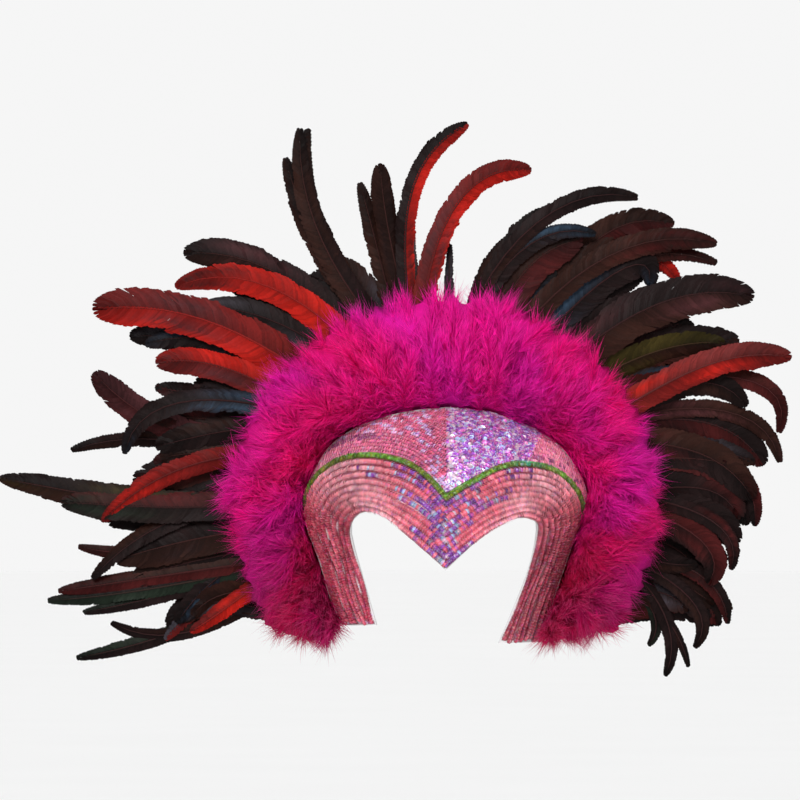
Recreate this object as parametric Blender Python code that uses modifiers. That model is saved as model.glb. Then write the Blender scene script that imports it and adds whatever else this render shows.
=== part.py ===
"""Carnival feather headdress: a sequinned crown with a brow point, a fluffy ruff and a fan of plumes.

Metres, +Z up. The face side looks along -Y. The origin is where the head sits: midway between
the crown's two legs, level with the brow tip, in the upright plane of the feather fan.
Angles round the fan are clock angles in degrees: 0 is straight up, +90 is +X, -90 is -X.
"""

import math

import bmesh
import bpy
import numpy as np

# Crown: stiff base, worn like a helmet's front
CROWN_HALF_WIDTH = 0.1045
CROWN_RISE = 0.1206
LEG_DROP = 0.056
CROWN_DEPTH = 0.088
RIM_SETBACK = 0.014
CROWN_WALL = 0.003
DOME_TURN = math.radians(75)

# Sequin covering of the crown
SEQUIN_ROWS = 9
ROW_HEIGHT = 0.0009
SKIN_WALL = 0.0011
BAND_WIDTH = 0.0054
BAND_WALL = 0.0024
EDGE_SHOWN = 0.0012

# Ruff of marabou down round the rim
RUFF_REACH = 0.176
RUFF_DEPTH = 0.048
RUFF_HEM = 0.106
RUFF_STANDOFF = 0.0005
TUFT_NOTCH = 0.28

# Fan of plumes on tape behind the rim, each plume in a slot of its own from front to back
FAN_CENTRE_RISE = 0.050
FAN_REACH = 0.333
FAN_LEAN = 0.022
TAPE_WIDTH = 0.017
PLUME_WIDTH = 0.020
PLUME_THICKNESS = 0.0005
PLUME_CLEARANCE = 0.00025
QUILL_WIDTH = 0.0024

# Clearance between neighbouring pieces, and of a skin over the faceted crown
GAP = 0.0003
SKIN_GAP = 0.0006

# Crown stations from the left leg's end, over the brow, to the right leg's end.
# x: shares of CROWN_HALF_WIDTH. z: shares of CROWN_RISE above the brow tip, of LEG_DROP below it.
# depth: share of CROWN_DEPTH that the face edge stands in front of the rim.
# band: share of the way from the face edge to the rim, in front view, where the green band runs.
STATION_COLUMNS = ("face_x", "face_z", "depth", "rim_x", "rim_z", "band")
STATIONS = (
    (-0.49, -0.74, 0.36, -0.73, -0.75, 1.00),
    (-0.54, -0.42, 0.38, -0.82, -0.38, 1.00),
    (-0.61, 0.01, 0.43, -0.90, 0.06, 1.00),
    (-0.67, 0.21, 0.52, -0.98, 0.25, 1.00),
    (-0.65, 0.31, 0.62, -1.00, 0.39, 0.97),
    (-0.55, 0.36, 0.72, -0.96, 0.56, 0.92),
    (-0.40, 0.31, 0.82, -0.81, 0.77, 0.79),
    (-0.27, 0.21, 0.90, -0.57, 0.90, 0.70),
    (-0.13, 0.10, 0.96, -0.29, 0.97, 0.61),
    (0.00, 0.00, 1.00, 0.01, 1.00, 0.44),
    (0.11, 0.09, 0.96, 0.30, 0.97, 0.52),
    (0.24, 0.19, 0.90, 0.57, 0.89, 0.64),
    (0.38, 0.27, 0.82, 0.79, 0.78, 0.71),
    (0.51, 0.32, 0.74, 0.92, 0.64, 0.78),
    (0.63, 0.30, 0.64, 1.00, 0.48, 0.84),
    (0.65, 0.23, 0.55, 0.96, 0.31, 0.96),
    (0.61, 0.05, 0.43, 0.87, 0.07, 1.00),
    (0.53, -0.31, 0.38, 0.79, -0.31, 1.00),
    (0.38, -0.98, 0.36, 0.69, -0.97, 1.00),
)
BROW_STATION = 9
BAND_STATIONS = (4, 15)
FIELDS = (
    ("upper_sequins_left", 5, 9, "coral"),
    ("lilac_inlay", 9, 11.5, "lilac"),
    ("upper_sequins_right", 11.5, 14.5, "coral"),
)

# Ruff sections: name, first and last clock angle, number of tufts
RUFF_SECTIONS = (
    ("ruff_left_low", -139, -100, 6),
    ("ruff_left", -100, -45, 8),
    ("ruff_top", -45, 45, 13),
    ("ruff_right", 45, 100, 8),
    ("ruff_right_low", 100, 143, 6),
)

# Plumes, nearest the face first. root: clock angle on the tape. launch and end: headings at the
# quill and at the tip. tip, reach: clock angle and share of FAN_REACH. width: share of PLUME_WIDTH.
PLUME_COLUMNS = ("root", "launch", "tip", "reach", "end", "width")
PLUMES_TOP = (
    (-10, -12, 14, 0.77, 98, 0.80),
    (-12, -8, 3, 0.85, 62, 0.65),
    (-10, 2, -7, 0.69, 5, 0.50),
    (-10, -10, -11, 0.77, -4, 0.80),
    (-12, -22, -15, 0.74, -16, 0.70),
    (-4, -40, -21, 0.90, 2, 1.05),
    (-7, -36, -25, 0.85, -30, 0.80),
    (0, 4, 1, 0.58, 2, 0.30),
)
PLUMES_LEFT = (
    (-46, -48, -61, 0.90, -96, 1.40),
    (-54, -64, -64, 0.72, -98, 1.00),
    (-24, -36, -51, 0.78, -110, 1.05),
    (-28, -48, -49, 0.71, -84, 0.75),
    (-72, -80, -93, 0.77, -136, 0.70),
    (-17, -40, -46, 0.81, -92, 1.10),
    (-34, -52, -55, 0.68, -92, 0.90),
    (-44, -62, -62, 0.76, -108, 0.70),
    (-70, -86, -70, 0.84, -42, 1.00),
    (-68, -84, -82, 0.66, -110, 0.80),
    (-50, -62, -62, 0.80, -92, 0.90),
    (-56, -66, -81, 0.73, -168, 0.60),
    (-76, -80, -82, 0.85, -108, 0.55),
)
PLUMES_LEFT_LOW = (
    (-112, -112, -117, 0.64, -122, 0.60),
    (-88, -100, -90, 0.86, -86, 1.05),
    (-88, -102, -87, 1.00, -80, 1.00),
    (-86, -96, -102, 0.81, -138, 0.60),
    (-98, -98, -100, 0.75, -108, 1.30),
    (-94, -106, -97, 0.83, -76, 0.50),
    (-112, -96, -103, 0.89, -98, 0.65),
    (-112, -102, -104, 0.92, -94, 0.60),
    (-110, -106, -107, 0.85, -100, 0.50),
    (-108, -108, -116, 0.70, -138, 0.60),
    (-116, -122, -110, 0.80, -62, 0.45),
    (-118, -114, -113, 0.90, -100, 0.55),
)
PLUMES_RIGHT = (
    (62, 62, 67, 0.84, 104, 0.60),
    (36, 48, 56, 0.83, 102, 1.35),
    (16, 28, 46, 0.84, 104, 0.85),
    (6, -4, 32, 0.81, 104, 0.60),
    (6, -2, 29, 0.69, 108, 0.65),
    (20, 42, 41, 0.74, 116, 0.60),
    (44, 62, 60, 0.72, 92, 0.65),
    (58, 76, 72, 0.71, 144, 0.90),
    (46, 60, 78, 0.77, 198, 0.65),
    (60, 70, 83, 0.76, 168, 0.60),
    (66, 72, 94, 0.70, 188, 0.75),
    (70, 80, 94, 0.68, 164, 0.90),
    (22, 36, 39, 0.81, 104, 1.20),
)
PLUMES_RIGHT_LOW = (
    (88, 84, 103, 0.66, 200, 0.55),
    (90, 90, 107, 0.62, 214, 1.10),
    (106, 94, 104, 0.58, 84, 0.70),
    (106, 100, 113, 0.69, 176, 0.55),
    (106, 106, 120, 0.65, 216, 0.55),
    (106, 108, 128, 0.63, 204, 0.50),
    (112, 116, 124, 0.66, 168, 0.30),
    (110, 114, 125, 0.56, 220, 0.40),
)

# Plume sections: name, tape's first and last clock angle, plumes
PLUME_SECTIONS = (
    ("plumes_left_low", -134, -84, PLUMES_LEFT_LOW),
    ("plumes_left", -84, -14.5, PLUMES_LEFT),
    ("plumes_top", -14.5, 3, PLUMES_TOP),
    ("plumes_right", 3, 86, PLUMES_RIGHT),
    ("plumes_right_low", 86, 138, PLUMES_RIGHT_LOW),
)

# Colour, roughness and metallic value of each finish
FINISHES = {
    "white_base": ((0.78, 0.76, 0.76), 0.55, 0.0),
    "coral": ((0.78, 0.16, 0.20), 0.30, 0.35),
    "green": ((0.22, 0.36, 0.03), 0.30, 0.35),
    "lilac": ((0.45, 0.25, 0.62), 0.22, 0.50),
    "magenta": ((0.55, 0.005, 0.16), 0.85, 0.0),
    "plume": ((0.06, 0.012, 0.014), 0.45, 0.0),
}

# Grid densities
COLUMNS_PER_STATION = 2
BASE_LINES = 9
FIELD_LINES = 7
LINES_PER_ROW = 2
RUFF_COLUMNS_PER_TUFT = 4
RUFF_LOOP = 8
PLUME_RINGS = (0, 0.14, 0.32, 0.52, 0.72, 0.88, 0.97, 1)
TAPE_STEP = 8


def clear_scene():
    for obj in list(bpy.data.objects):
        bpy.data.objects.remove(obj, do_unlink=True)


def finish_material(name):
    """A Principled material with the finish's colour, roughness and metallic value."""
    if name in bpy.data.materials:
        return bpy.data.materials[name]
    colour, roughness, metallic = FINISHES[name]
    material = bpy.data.materials.new(name)
    material.use_nodes = True
    shader = material.node_tree.nodes["Principled BSDF"]
    shader.inputs["Base Color"].default_value = (*colour, 1.0)
    shader.inputs["Roughness"].default_value = roughness
    shader.inputs["Metallic"].default_value = metallic
    return material


def add_mesh(name, points, faces, finish, collection):
    mesh = bpy.data.meshes.new(name)
    mesh.from_pydata([tuple(point) for point in points], [], faces)
    mesh.materials.append(finish_material(finish))
    mesh.shade_smooth()
    mesh.set_sharp_from_angle(angle=math.radians(40))
    obj = bpy.data.objects.new(name, mesh)
    collection.objects.link(obj)
    return obj


def grid_faces(columns, lines):
    """Quads of a grid whose points run line by line within each column."""
    faces = []
    for column in range(columns - 1):
        for line in range(lines - 1):
            corner = column * lines + line
            faces.append((corner, corner + lines, corner + lines + 1, corner + 1))
    return faces


def tube_faces(rings, loop):
    """Quads of a tube of rings, closed round its loop, with a cap on each end."""
    faces = []
    for ring in range(rings - 1):
        for step in range(loop):
            after = (step + 1) % loop
            low = ring * loop
            faces.append((low + step, low + after, low + loop + after, low + loop + step))
    faces.append(tuple(range(loop - 1, -1, -1)))
    faces.append(tuple(range((rings - 1) * loop, rings * loop)))
    return faces


def point_outwards(obj):
    """Turn a closed mesh so that its faces look outwards."""
    shape = bmesh.new()
    shape.from_mesh(obj.data)
    bmesh.ops.recalc_face_normals(shape, faces=shape.faces)
    shape.to_mesh(obj.data)
    shape.free()


def station_values(name, stations):
    """A station column read at fractional stations: smooth on each side of the brow, creased at it."""
    rows = np.array([row[STATION_COLUMNS.index(name)] for row in STATIONS])
    if name.endswith("_x"):
        rows = rows * CROWN_HALF_WIDTH
    if name.endswith("_z"):
        rows = np.where(rows > 0, rows * CROWN_RISE, rows * LEG_DROP)
    stations = np.asarray(stations, float)
    result = np.zeros(stations.shape)
    before = stations < BROW_STATION
    halves = ((0, BROW_STATION, before), (BROW_STATION, len(rows) - 1, ~before))
    for first, last, chosen in halves:
        side = rows[first : last + 1]
        slope = np.gradient(side)
        place = np.clip(stations[chosen] - first, 0, last - first)
        low = np.minimum(place.astype(int), last - first - 1)
        f = place - low
        result[chosen] = (
            (1 + 2 * f) * (1 - f) ** 2 * side[low]
            + f * (1 - f) ** 2 * slope[low]
            + f * f * (3 - 2 * f) * side[low + 1]
            + f * f * (f - 1) * slope[low + 1]
        )
    return result


def crown_points(stations, across):
    """The crown's outer surface. across runs from 0 at the face edge to 1 at the rim.

    The section turns like a dome: in front view the share of the way to the rim is the sine of
    the turn, and the depth in front of the rim is its cosine, both scaled to end at the edges.
    """
    turn = across * DOME_TURN
    share = np.sin(turn) / math.sin(DOME_TURN)
    fall = (np.cos(turn) - math.cos(DOME_TURN)) / (1 - math.cos(DOME_TURN))
    face_x = station_values("face_x", stations)
    face_z = station_values("face_z", stations)
    x = face_x + (station_values("rim_x", stations) - face_x) * share
    z = face_z + (station_values("rim_z", stations) - face_z) * share
    y = -RIM_SETBACK - station_values("depth", stations) * CROWN_DEPTH * fall
    return np.stack([x, y, z], axis=-1)


def crown_normals(stations, across):
    """Unit normals of the crown's outer surface, from small steps along both directions."""
    step = 0.02
    along = crown_points(stations + step, across) - crown_points(stations - step, across)
    up = crown_points(stations, across + step) - crown_points(stations, across - step)
    normal = np.cross(along, up)
    return normal / np.linalg.norm(normal, axis=-1, keepdims=True)


def section_length(stations):
    """Length of the crown's section from face edge to rim at each station."""
    across = np.linspace(0, 1, 33)
    points = crown_points(np.repeat(stations, len(across)), np.tile(across, len(stations)))
    steps = np.diff(points.reshape(len(stations), len(across), 3), axis=1)
    return np.linalg.norm(steps, axis=2).sum(axis=1)


def band_limits(stations):
    """Shares across the crown where the green band starts and ends."""
    share = station_values("band", stations)
    middle = np.arcsin(np.clip(share, 0, 1) * math.sin(DOME_TURN)) / DOME_TURN
    length = section_length(stations)
    top = np.minimum(middle + BAND_WIDTH / 2 / length, 1 - EDGE_SHOWN / length)
    return top - BAND_WIDTH / length, top


def rows_top(stations):
    """Share across the crown where the rows of sequin string end: at the band, or at the leg's edge."""
    length = section_length(stations)
    under_band = band_limits(stations)[0] - GAP / length
    banded = (stations >= BAND_STATIONS[0]) & (stations <= BAND_STATIONS[1])
    return np.where(banded, under_band, 1 - EDGE_SHOWN / length)


def columns_between(first, last):
    """Fractional stations of a patch's columns, on the steps that all layers share."""
    count = round((last - first) * COLUMNS_PER_STATION) + 1
    return np.linspace(first, last, count)


def crown_patch(name, stations, low, high, lift, wall, finish, collection):
    """A skin over part of the crown: lift holds the height of each line above the base."""
    lines = len(lift)
    share = np.linspace(0, 1, lines)
    across = low[:, None] + (high - low)[:, None] * share[None, :]
    along = np.repeat(stations[:, None], lines, axis=1)
    flat_along = along.ravel()
    flat_across = across.ravel()
    height = np.tile(lift, len(stations))
    points = crown_points(flat_along, flat_across) + crown_normals(flat_along, flat_across) * height[:, None]
    obj = add_mesh(name, points, grid_faces(len(stations), lines), finish, collection)
    shell = obj.modifiers.new("wall", "SOLIDIFY")
    shell.thickness = wall
    shell.offset = -1
    shell.use_even_offset = True
    return obj


def build_crown_base(collection):
    stations = columns_between(0, len(STATIONS) - 1)
    low = np.zeros(len(stations))
    high = np.ones(len(stations))
    crown_patch("crown_base", stations, low, high, np.zeros(BASE_LINES), CROWN_WALL, "white_base", collection)


def build_sequin_rows(collection):
    """Rows of sequin string as ribs side by side along the face edge, down both legs."""
    end_trim = 0.1
    stations = columns_between(0, len(STATIONS) - 1)
    stations[0] += end_trim
    stations[-1] -= end_trim
    lines = SEQUIN_ROWS * LINES_PER_ROW + 1
    rib = np.arange(lines) % LINES_PER_ROW
    lift = SKIN_GAP + SKIN_WALL + ROW_HEIGHT * rib
    low = EDGE_SHOWN / section_length(stations)
    crown_patch("sequin_rows", stations, low, rows_top(stations), lift, SKIN_WALL, "coral", collection)


def build_green_band(collection):
    stations = columns_between(*BAND_STATIONS)
    low, high = band_limits(stations)
    lift = SKIN_GAP + BAND_WALL + ROW_HEIGHT * np.array([0, 1, 0])
    crown_patch("green_band", stations, low, high, lift, BAND_WALL, "green", collection)


def build_upper_fields(collection):
    """Sequin cloth between the green band and the rim, in three patches."""
    for name, first, last, finish in FIELDS:
        stations = columns_between(first, last)
        length = section_length(stations)
        trim = np.zeros(len(stations))
        trim[0] = trim[-1] = 1
        spacing = np.gradient(crown_points(stations, np.ones(len(stations))), axis=0)
        trim = trim * GAP / 2 / np.linalg.norm(spacing, axis=1) / COLUMNS_PER_STATION
        stations = stations + trim * np.linspace(1, -1, len(stations))
        low = band_limits(stations)[1] + GAP / length
        high = 1 - EDGE_SHOWN / length
        lift = np.full(FIELD_LINES, SKIN_GAP + SKIN_WALL)
        crown_patch(name, stations, low, high, lift, SKIN_WALL, finish, collection)


def rim_radius(angles):
    """Distance from the fan's centre to the crown's rim at clock angles, along the outer edge."""
    stations = np.linspace(0, len(STATIONS) - 1, 400)
    rim = crown_points(stations, np.ones(len(stations)))
    x = rim[:, 0]
    z = rim[:, 2] - FAN_CENTRE_RISE
    clock = np.degrees(np.arctan2(x, z))
    return np.interp(angles, clock, np.hypot(x, z))


def section_angles(first, last, columns):
    """Clock angles of a ring section's columns, drawn in at each end by half the clearance."""
    trim = np.degrees(GAP / 2 / rim_radius(np.array([first, last])))
    return np.linspace(first + trim[0], last - trim[1], columns)


def fan_point(angle, radius, y):
    """Point at a clock angle and radius about the fan's centre, at depth y."""
    turn = np.radians(angle)
    return np.stack([radius * np.sin(turn), y + 0 * radius, FAN_CENTRE_RISE + radius * np.cos(turn)], axis=-1)


def tape_front():
    """Depth of the front face of the plume tape, just behind the crown's rim."""
    return -RIM_SETBACK + CROWN_WALL * math.cos(DOME_TURN) + GAP


def slot_pitch():
    """Depth from one plume's slot to the next, with room between for a neighbouring section's plume."""
    return 2 * (PLUME_THICKNESS + PLUME_CLEARANCE)


def tape_thickness():
    return slot_pitch() * (1 + max(len(section[-1]) for section in PLUME_SECTIONS))


def build_ruff_section(name, first, last, tufts, collection):
    """A ring section with a flat back, drawn out into pointed tufts.

    Round the section w goes from 0 at the rim to 1 at the tips. The reach at w is cut back by a
    tooth wave, 0 at a tuft's tip and 1 between tufts. In front the wave is half a tuft further on,
    so that tufts stand before the gaps of those behind. No tuft hangs lower than the hem.
    """
    columns = tufts * RUFF_COLUMNS_PER_TUFT + 1
    angles = section_angles(first, last, columns)
    inner = rim_radius(angles) + RUFF_STANDOFF
    turn = np.linspace(0, 2 * np.pi, RUFF_LOOP, endpoint=False)
    outward = (1 + np.cos(turn)) / 2
    half = RUFF_COLUMNS_PER_TUFT // 2
    place = np.arange(columns)[:, None] + np.where(np.sin(turn) > 0.3, half, 0)[None, :]
    tooth = 1 - np.abs(place % RUFF_COLUMNS_PER_TUFT - half) / half
    hem = RUFF_HEM / np.clip(-np.cos(np.radians(angles)), 0.01, None)
    room = (np.minimum(RUFF_REACH, hem) - inner)[:, None]
    radius = inner[:, None] + room * outward * (1 - TUFT_NOTCH * outward * tooth)
    belly = (0.5 + 0.5 * np.sin(turn)) * (0.88 - 0.38 * np.cos(turn))
    y = tape_front() - GAP - RUFF_DEPTH * belly[None, :] * (1 - 0.12 * tooth)
    points = fan_point(angles[:, None], radius, y).reshape(-1, 3)
    obj = add_mesh(name, points, tube_faces(columns, RUFF_LOOP), "magenta", collection)
    point_outwards(obj)


def heading(degrees):
    return np.array([math.sin(math.radians(degrees)), math.cos(math.radians(degrees))])


def plume_line(root, launch, tip, reach, end, shares):
    """The plume's spine in the fan's plane: a cubic that leaves at launch and arrives at end."""
    tape = rim_radius(root) - CROWN_WALL + TAPE_WIDTH / 2
    start = tape * heading(root)
    finish = reach * FAN_REACH * heading(tip)
    pull = 1.1 * np.linalg.norm(finish - start)
    s = shares[:, None]
    return (
        (1 + 2 * s) * (1 - s) ** 2 * start
        + s * (1 - s) ** 2 * pull * heading(launch)
        + s * s * (3 - 2 * s) * finish
        + s * s * (s - 1) * pull * heading(end)
    )


def plume_width(shares, width):
    """Half width along a plume: a bare quill, a long even vane, then a rounded point."""
    vane = np.clip(shares / 0.4, 0, 1)
    vane = vane * vane * (3 - 2 * vane)
    point = np.sqrt(1 - ((shares - 0.7) / 0.3).clip(0, 1) ** 2)
    quill = QUILL_WIDTH / 2
    return (quill + (width * PLUME_WIDTH / 2 - quill) * vane) * point


def build_plume(name, row, y, collection):
    """One plume as a thin blade: edge, front ridge, edge and back ridge on each ring.

    It leans back with the square of its distance outside the crown, so plumes in neighbouring
    slots lie side by side all the way.
    """
    plume = dict(zip(PLUME_COLUMNS, row))
    shares = np.array(PLUME_RINGS)
    line = plume_line(plume["root"], plume["launch"], plume["tip"], plume["reach"], plume["end"], shares)
    along = np.gradient(line, shares, axis=0)
    side = np.stack([along[:, 1], -along[:, 0]], axis=1) / np.linalg.norm(along, axis=1, keepdims=True)
    half = plume_width(shares, plume["width"])[:, None]
    points = []
    for offset, ridge in ((-1, 0), (0, -1), (1, 0), (0, 1)):
        place = line + side * half * offset
        outside = np.clip(np.hypot(place[:, 0], place[:, 1]) - CROWN_HALF_WIDTH, 0, None)
        lean = FAN_LEAN * (outside / (FAN_REACH - CROWN_HALF_WIDTH)) ** 2
        depth = y + lean + ridge * PLUME_THICKNESS / 2
        points.append(np.stack([place[:, 0], depth, place[:, 1] + FAN_CENTRE_RISE], axis=1))
    rings = np.stack(points, axis=1)[:-1].reshape(-1, 3)
    tip = np.mean([corner[-1] for corner in points], axis=0)
    faces = tube_faces(len(shares) - 1, 4)[:-1]
    last = (len(shares) - 2) * 4
    faces += [(last + step, last + (step + 1) % 4, last + 4) for step in range(4)]
    obj = add_mesh(name, np.vstack([rings, tip]), faces, "plume", collection)
    point_outwards(obj)
    obj.hide_render = True
    obj.display_type = "WIRE"
    return obj


def build_plume_section(name, first, last, plumes, offset, collection, tools):
    """A strip of tape behind the rim with its plumes fused into it, one behind the other.

    offset moves every other section's plumes back by half a slot, so that they pass between
    the plumes of the next section where the two fans cross.
    """
    angles = section_angles(first, last, 2 + round((last - first) / TAPE_STEP))
    inner = rim_radius(angles) - CROWN_WALL
    outer = inner + TAPE_WIDTH
    front = tape_front()
    back = front + tape_thickness()
    corners = [(inner, front), (outer, front), (outer, back), (inner, back)]
    loops = [fan_point(angles, radius, depth) for radius, depth in corners]
    points = np.stack(loops, axis=1).reshape(-1, 3)
    tape = add_mesh(name, points, tube_faces(len(angles), 4), "plume", collection)
    point_outwards(tape)
    group = bpy.data.collections.new(name + "_plumes")
    tools.children.link(group)
    for number, row in enumerate(plumes):
        build_plume(f"{name}_{number + 1}", row, front + (number + 0.75 + offset) * slot_pitch(), group)
    fuse = tape.modifiers.new("plumes", "BOOLEAN")
    fuse.operation = "UNION"
    fuse.operand_type = "COLLECTION"
    fuse.collection = group
    fuse.solver = "EXACT"


def main():
    clear_scene()
    headdress = bpy.data.collections.new("carnival_headdress")
    tools = bpy.data.collections.new("plume_blades")
    bpy.context.scene.collection.children.link(headdress)
    bpy.context.scene.collection.children.link(tools)
    build_crown_base(headdress)
    build_sequin_rows(headdress)
    build_green_band(headdress)
    build_upper_fields(headdress)
    for section in RUFF_SECTIONS:
        build_ruff_section(*section, headdress)
    for number, section in enumerate(PLUME_SECTIONS):
        build_plume_section(*section, number % 2 / 2, headdress, tools)


main()
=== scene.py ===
# %% [markdown]
# A carnival headdress is built up in layers. A stiff white crown frames the face, rows of sequin string
# cover it, a ruff of marabou down hides its rim, and a fan of cock's tail plumes is sewn to a tape behind.
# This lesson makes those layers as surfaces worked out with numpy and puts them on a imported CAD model.

# %% Load the frame
import math

import bpy
import numpy as np
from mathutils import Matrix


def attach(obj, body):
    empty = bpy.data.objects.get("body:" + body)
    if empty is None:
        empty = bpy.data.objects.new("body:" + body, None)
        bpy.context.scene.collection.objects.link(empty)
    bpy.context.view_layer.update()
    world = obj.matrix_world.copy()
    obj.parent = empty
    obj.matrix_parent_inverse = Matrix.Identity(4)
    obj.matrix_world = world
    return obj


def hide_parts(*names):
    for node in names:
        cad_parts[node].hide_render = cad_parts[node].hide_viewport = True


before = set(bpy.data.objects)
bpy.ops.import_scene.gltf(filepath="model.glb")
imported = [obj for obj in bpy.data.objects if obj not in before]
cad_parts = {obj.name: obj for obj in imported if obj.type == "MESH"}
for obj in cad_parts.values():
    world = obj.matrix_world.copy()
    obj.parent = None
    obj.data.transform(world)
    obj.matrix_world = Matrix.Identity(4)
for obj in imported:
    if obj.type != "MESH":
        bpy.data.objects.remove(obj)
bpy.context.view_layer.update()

# %% [markdown]
# Every piece here is one big mesh of many small closed shapes: barbs, down and sequins. A mesh can be filled
# by loops or by whole arrays. Arrays are far quicker, so one helper takes points, quads and triangles and
# two values for each point: its dye, and a chance number that lets the material vary each small shape.


# %% Meshes from arrays
def stack_parts(parts):
    """Joins (points, quads, triangles, dye, chance) parts: faces move on by the points before them."""
    starts = np.cumsum([0] + [len(part[0]) for part in parts[:-1]])
    points = np.vstack([part[0] for part in parts])
    quads = np.vstack([part[1] + start for part, start in zip(parts, starts)])
    triangles = np.vstack([part[2] + start for part, start in zip(parts, starts)])
    dye = np.vstack([part[3] for part in parts])
    chance = np.concatenate([part[4] for part in parts])
    return points, quads, triangles, dye, chance


def make_piece(name, parts, material, smooth=True, crease=None):
    """Fills a mesh with the joined parts and puts it in the scene, with dye and chance on its points."""
    points, quads, triangles, dye, chance = stack_parts(parts)
    mesh = bpy.data.meshes.new(name)
    mesh.vertices.add(len(points))
    mesh.vertices.foreach_set("co", points.astype(np.float32).ravel())
    corners = np.concatenate([quads.ravel(), triangles.ravel()]).astype(np.int32)
    mesh.loops.add(len(corners))
    mesh.loops.foreach_set("vertex_index", corners)
    starts = np.concatenate([np.arange(len(quads)) * 4, len(quads) * 4 + np.arange(len(triangles)) * 3])
    mesh.polygons.add(len(starts))
    mesh.polygons.foreach_set("loop_start", starts.astype(np.int32))
    mesh.polygons.foreach_set("use_smooth", np.full(len(starts), smooth))
    mesh.update(calc_edges=True)
    if crease is not None:
        mesh.set_sharp_from_angle(angle=crease)
    colour = mesh.attributes.new("dye", "FLOAT_COLOR", "POINT")
    colour.data.foreach_set("color", np.column_stack([dye, np.ones(len(dye))]).astype(np.float32).ravel())
    mesh.attributes.new("chance", "FLOAT", "POINT").data.foreach_set("value", chance.astype(np.float32))
    mesh.materials.append(material)
    piece = bpy.data.objects.new(name, mesh)
    bpy.context.scene.collection.objects.link(piece)
    print(f"{name}: {len(points)} points, {2 * len(quads) + len(triangles)} triangles")
    return piece


def unit(vectors):
    """Vectors divided by their own lengths."""
    return vectors / np.linalg.norm(vectors, axis=-1, keepdims=True).clip(1e-12)


def mix(first, second, share):
    """first at share 0, second at share 1, and a straight blend between."""
    share = np.asarray(share)[..., None]
    return first * (1 - share) + second * share


print("mesh helpers ready")

# %% [markdown]
# Down, barbs and quills are all slender and pointed. Each could be a flat strip, but a strip has no inside
# and makes a bad solid. A three-sided blade that ends in a point is closed, and a short one costs only 10
# to 16 triangles.


# %% Blades and slabs
def blades(centres, across, lift):
    """Closed three-sided blades along many paths at once.

    centres has one path per blade, and the last point of a path is the blade's tip. On every ring the
    corners are the centre less across, the centre plus across, and the centre plus lift.
    """
    count, rings = across.shape[:2]
    middle = centres[:, :rings]
    corners = np.stack([middle - across, middle + across, middle + lift], axis=2)
    corners = corners.reshape(count, rings * 3, 3)
    points = np.concatenate([corners, centres[:, rings:]], axis=1)
    ring = np.arange(rings - 1)[:, None] * 3
    step = np.arange(3)
    after = (step + 1) % 3
    quads = np.stack([ring + step, ring + after, ring + 3 + after, ring + 3 + step], axis=-1).reshape(-1, 4)
    last = (rings - 1) * 3
    point = np.stack([last + step, last + after, np.full(3, rings * 3)], axis=-1)
    triangles = np.vstack([point, [[2, 1, 0]]])
    first = np.arange(count)[:, None, None] * (rings * 3 + 1)
    return points.reshape(-1, 3), (quads + first).reshape(-1, 4), (triangles + first).reshape(-1, 3)


def ring_values(values, tip_values):
    """Values of each ring (count, rings, n) given to its three corners, with the tip's own value last."""
    on_rings = np.repeat(values, 3, axis=1)
    return np.concatenate([on_rings, tip_values[:, None, :]], axis=1).reshape(-1, values.shape[-1])


def slab(top, bottom):
    """A closed sheet between two grids of points: top, bottom turned over, and four walls round the edge."""
    columns, lines = top.shape[:2]
    number = np.arange(columns * lines).reshape(columns, lines)
    low = [number[:-1, :-1], number[1:, :-1], number[1:, 1:], number[:-1, 1:]]
    face = np.stack([corner.ravel() for corner in low], axis=1)
    edge = np.concatenate([number[:, 0], number[-1, 1:], number[-2::-1, -1], number[0, -2:0:-1]])
    after = np.roll(edge, -1)
    under = columns * lines
    walls = np.stack([edge, edge + under, after + under, after], axis=1)
    quads = np.vstack([face, face[:, ::-1] + under, walls])
    return np.concatenate([top.reshape(-1, 3), bottom.reshape(-1, 3)]), quads, np.zeros((0, 3), int)


print("blades and slabs ready")

# %% [markdown]
# The crown's outer surface is the stage for all the sequins. The CAD model bends it like a helmet's front:
# a table gives the face edge and the rim at each station, and between them the section turns like a dome.
# The same formulas are written again here, so that a sequin can be set down at any station and height.

# %% The crown's surface
CROWN_HALF_WIDTH = 0.1045
CROWN_RISE = 0.1206
LEG_DROP = 0.056
CROWN_DEPTH = 0.088
RIM_SETBACK = 0.014
CROWN_WALL = 0.003
DOME_TURN = math.radians(75)
BAND_WIDTH = 0.0054
EDGE_SHOWN = 0.0012
RIM_SHOWN = 0.0060
BROW_STATION = 9
BAND_STATIONS = (4, 15)
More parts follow.
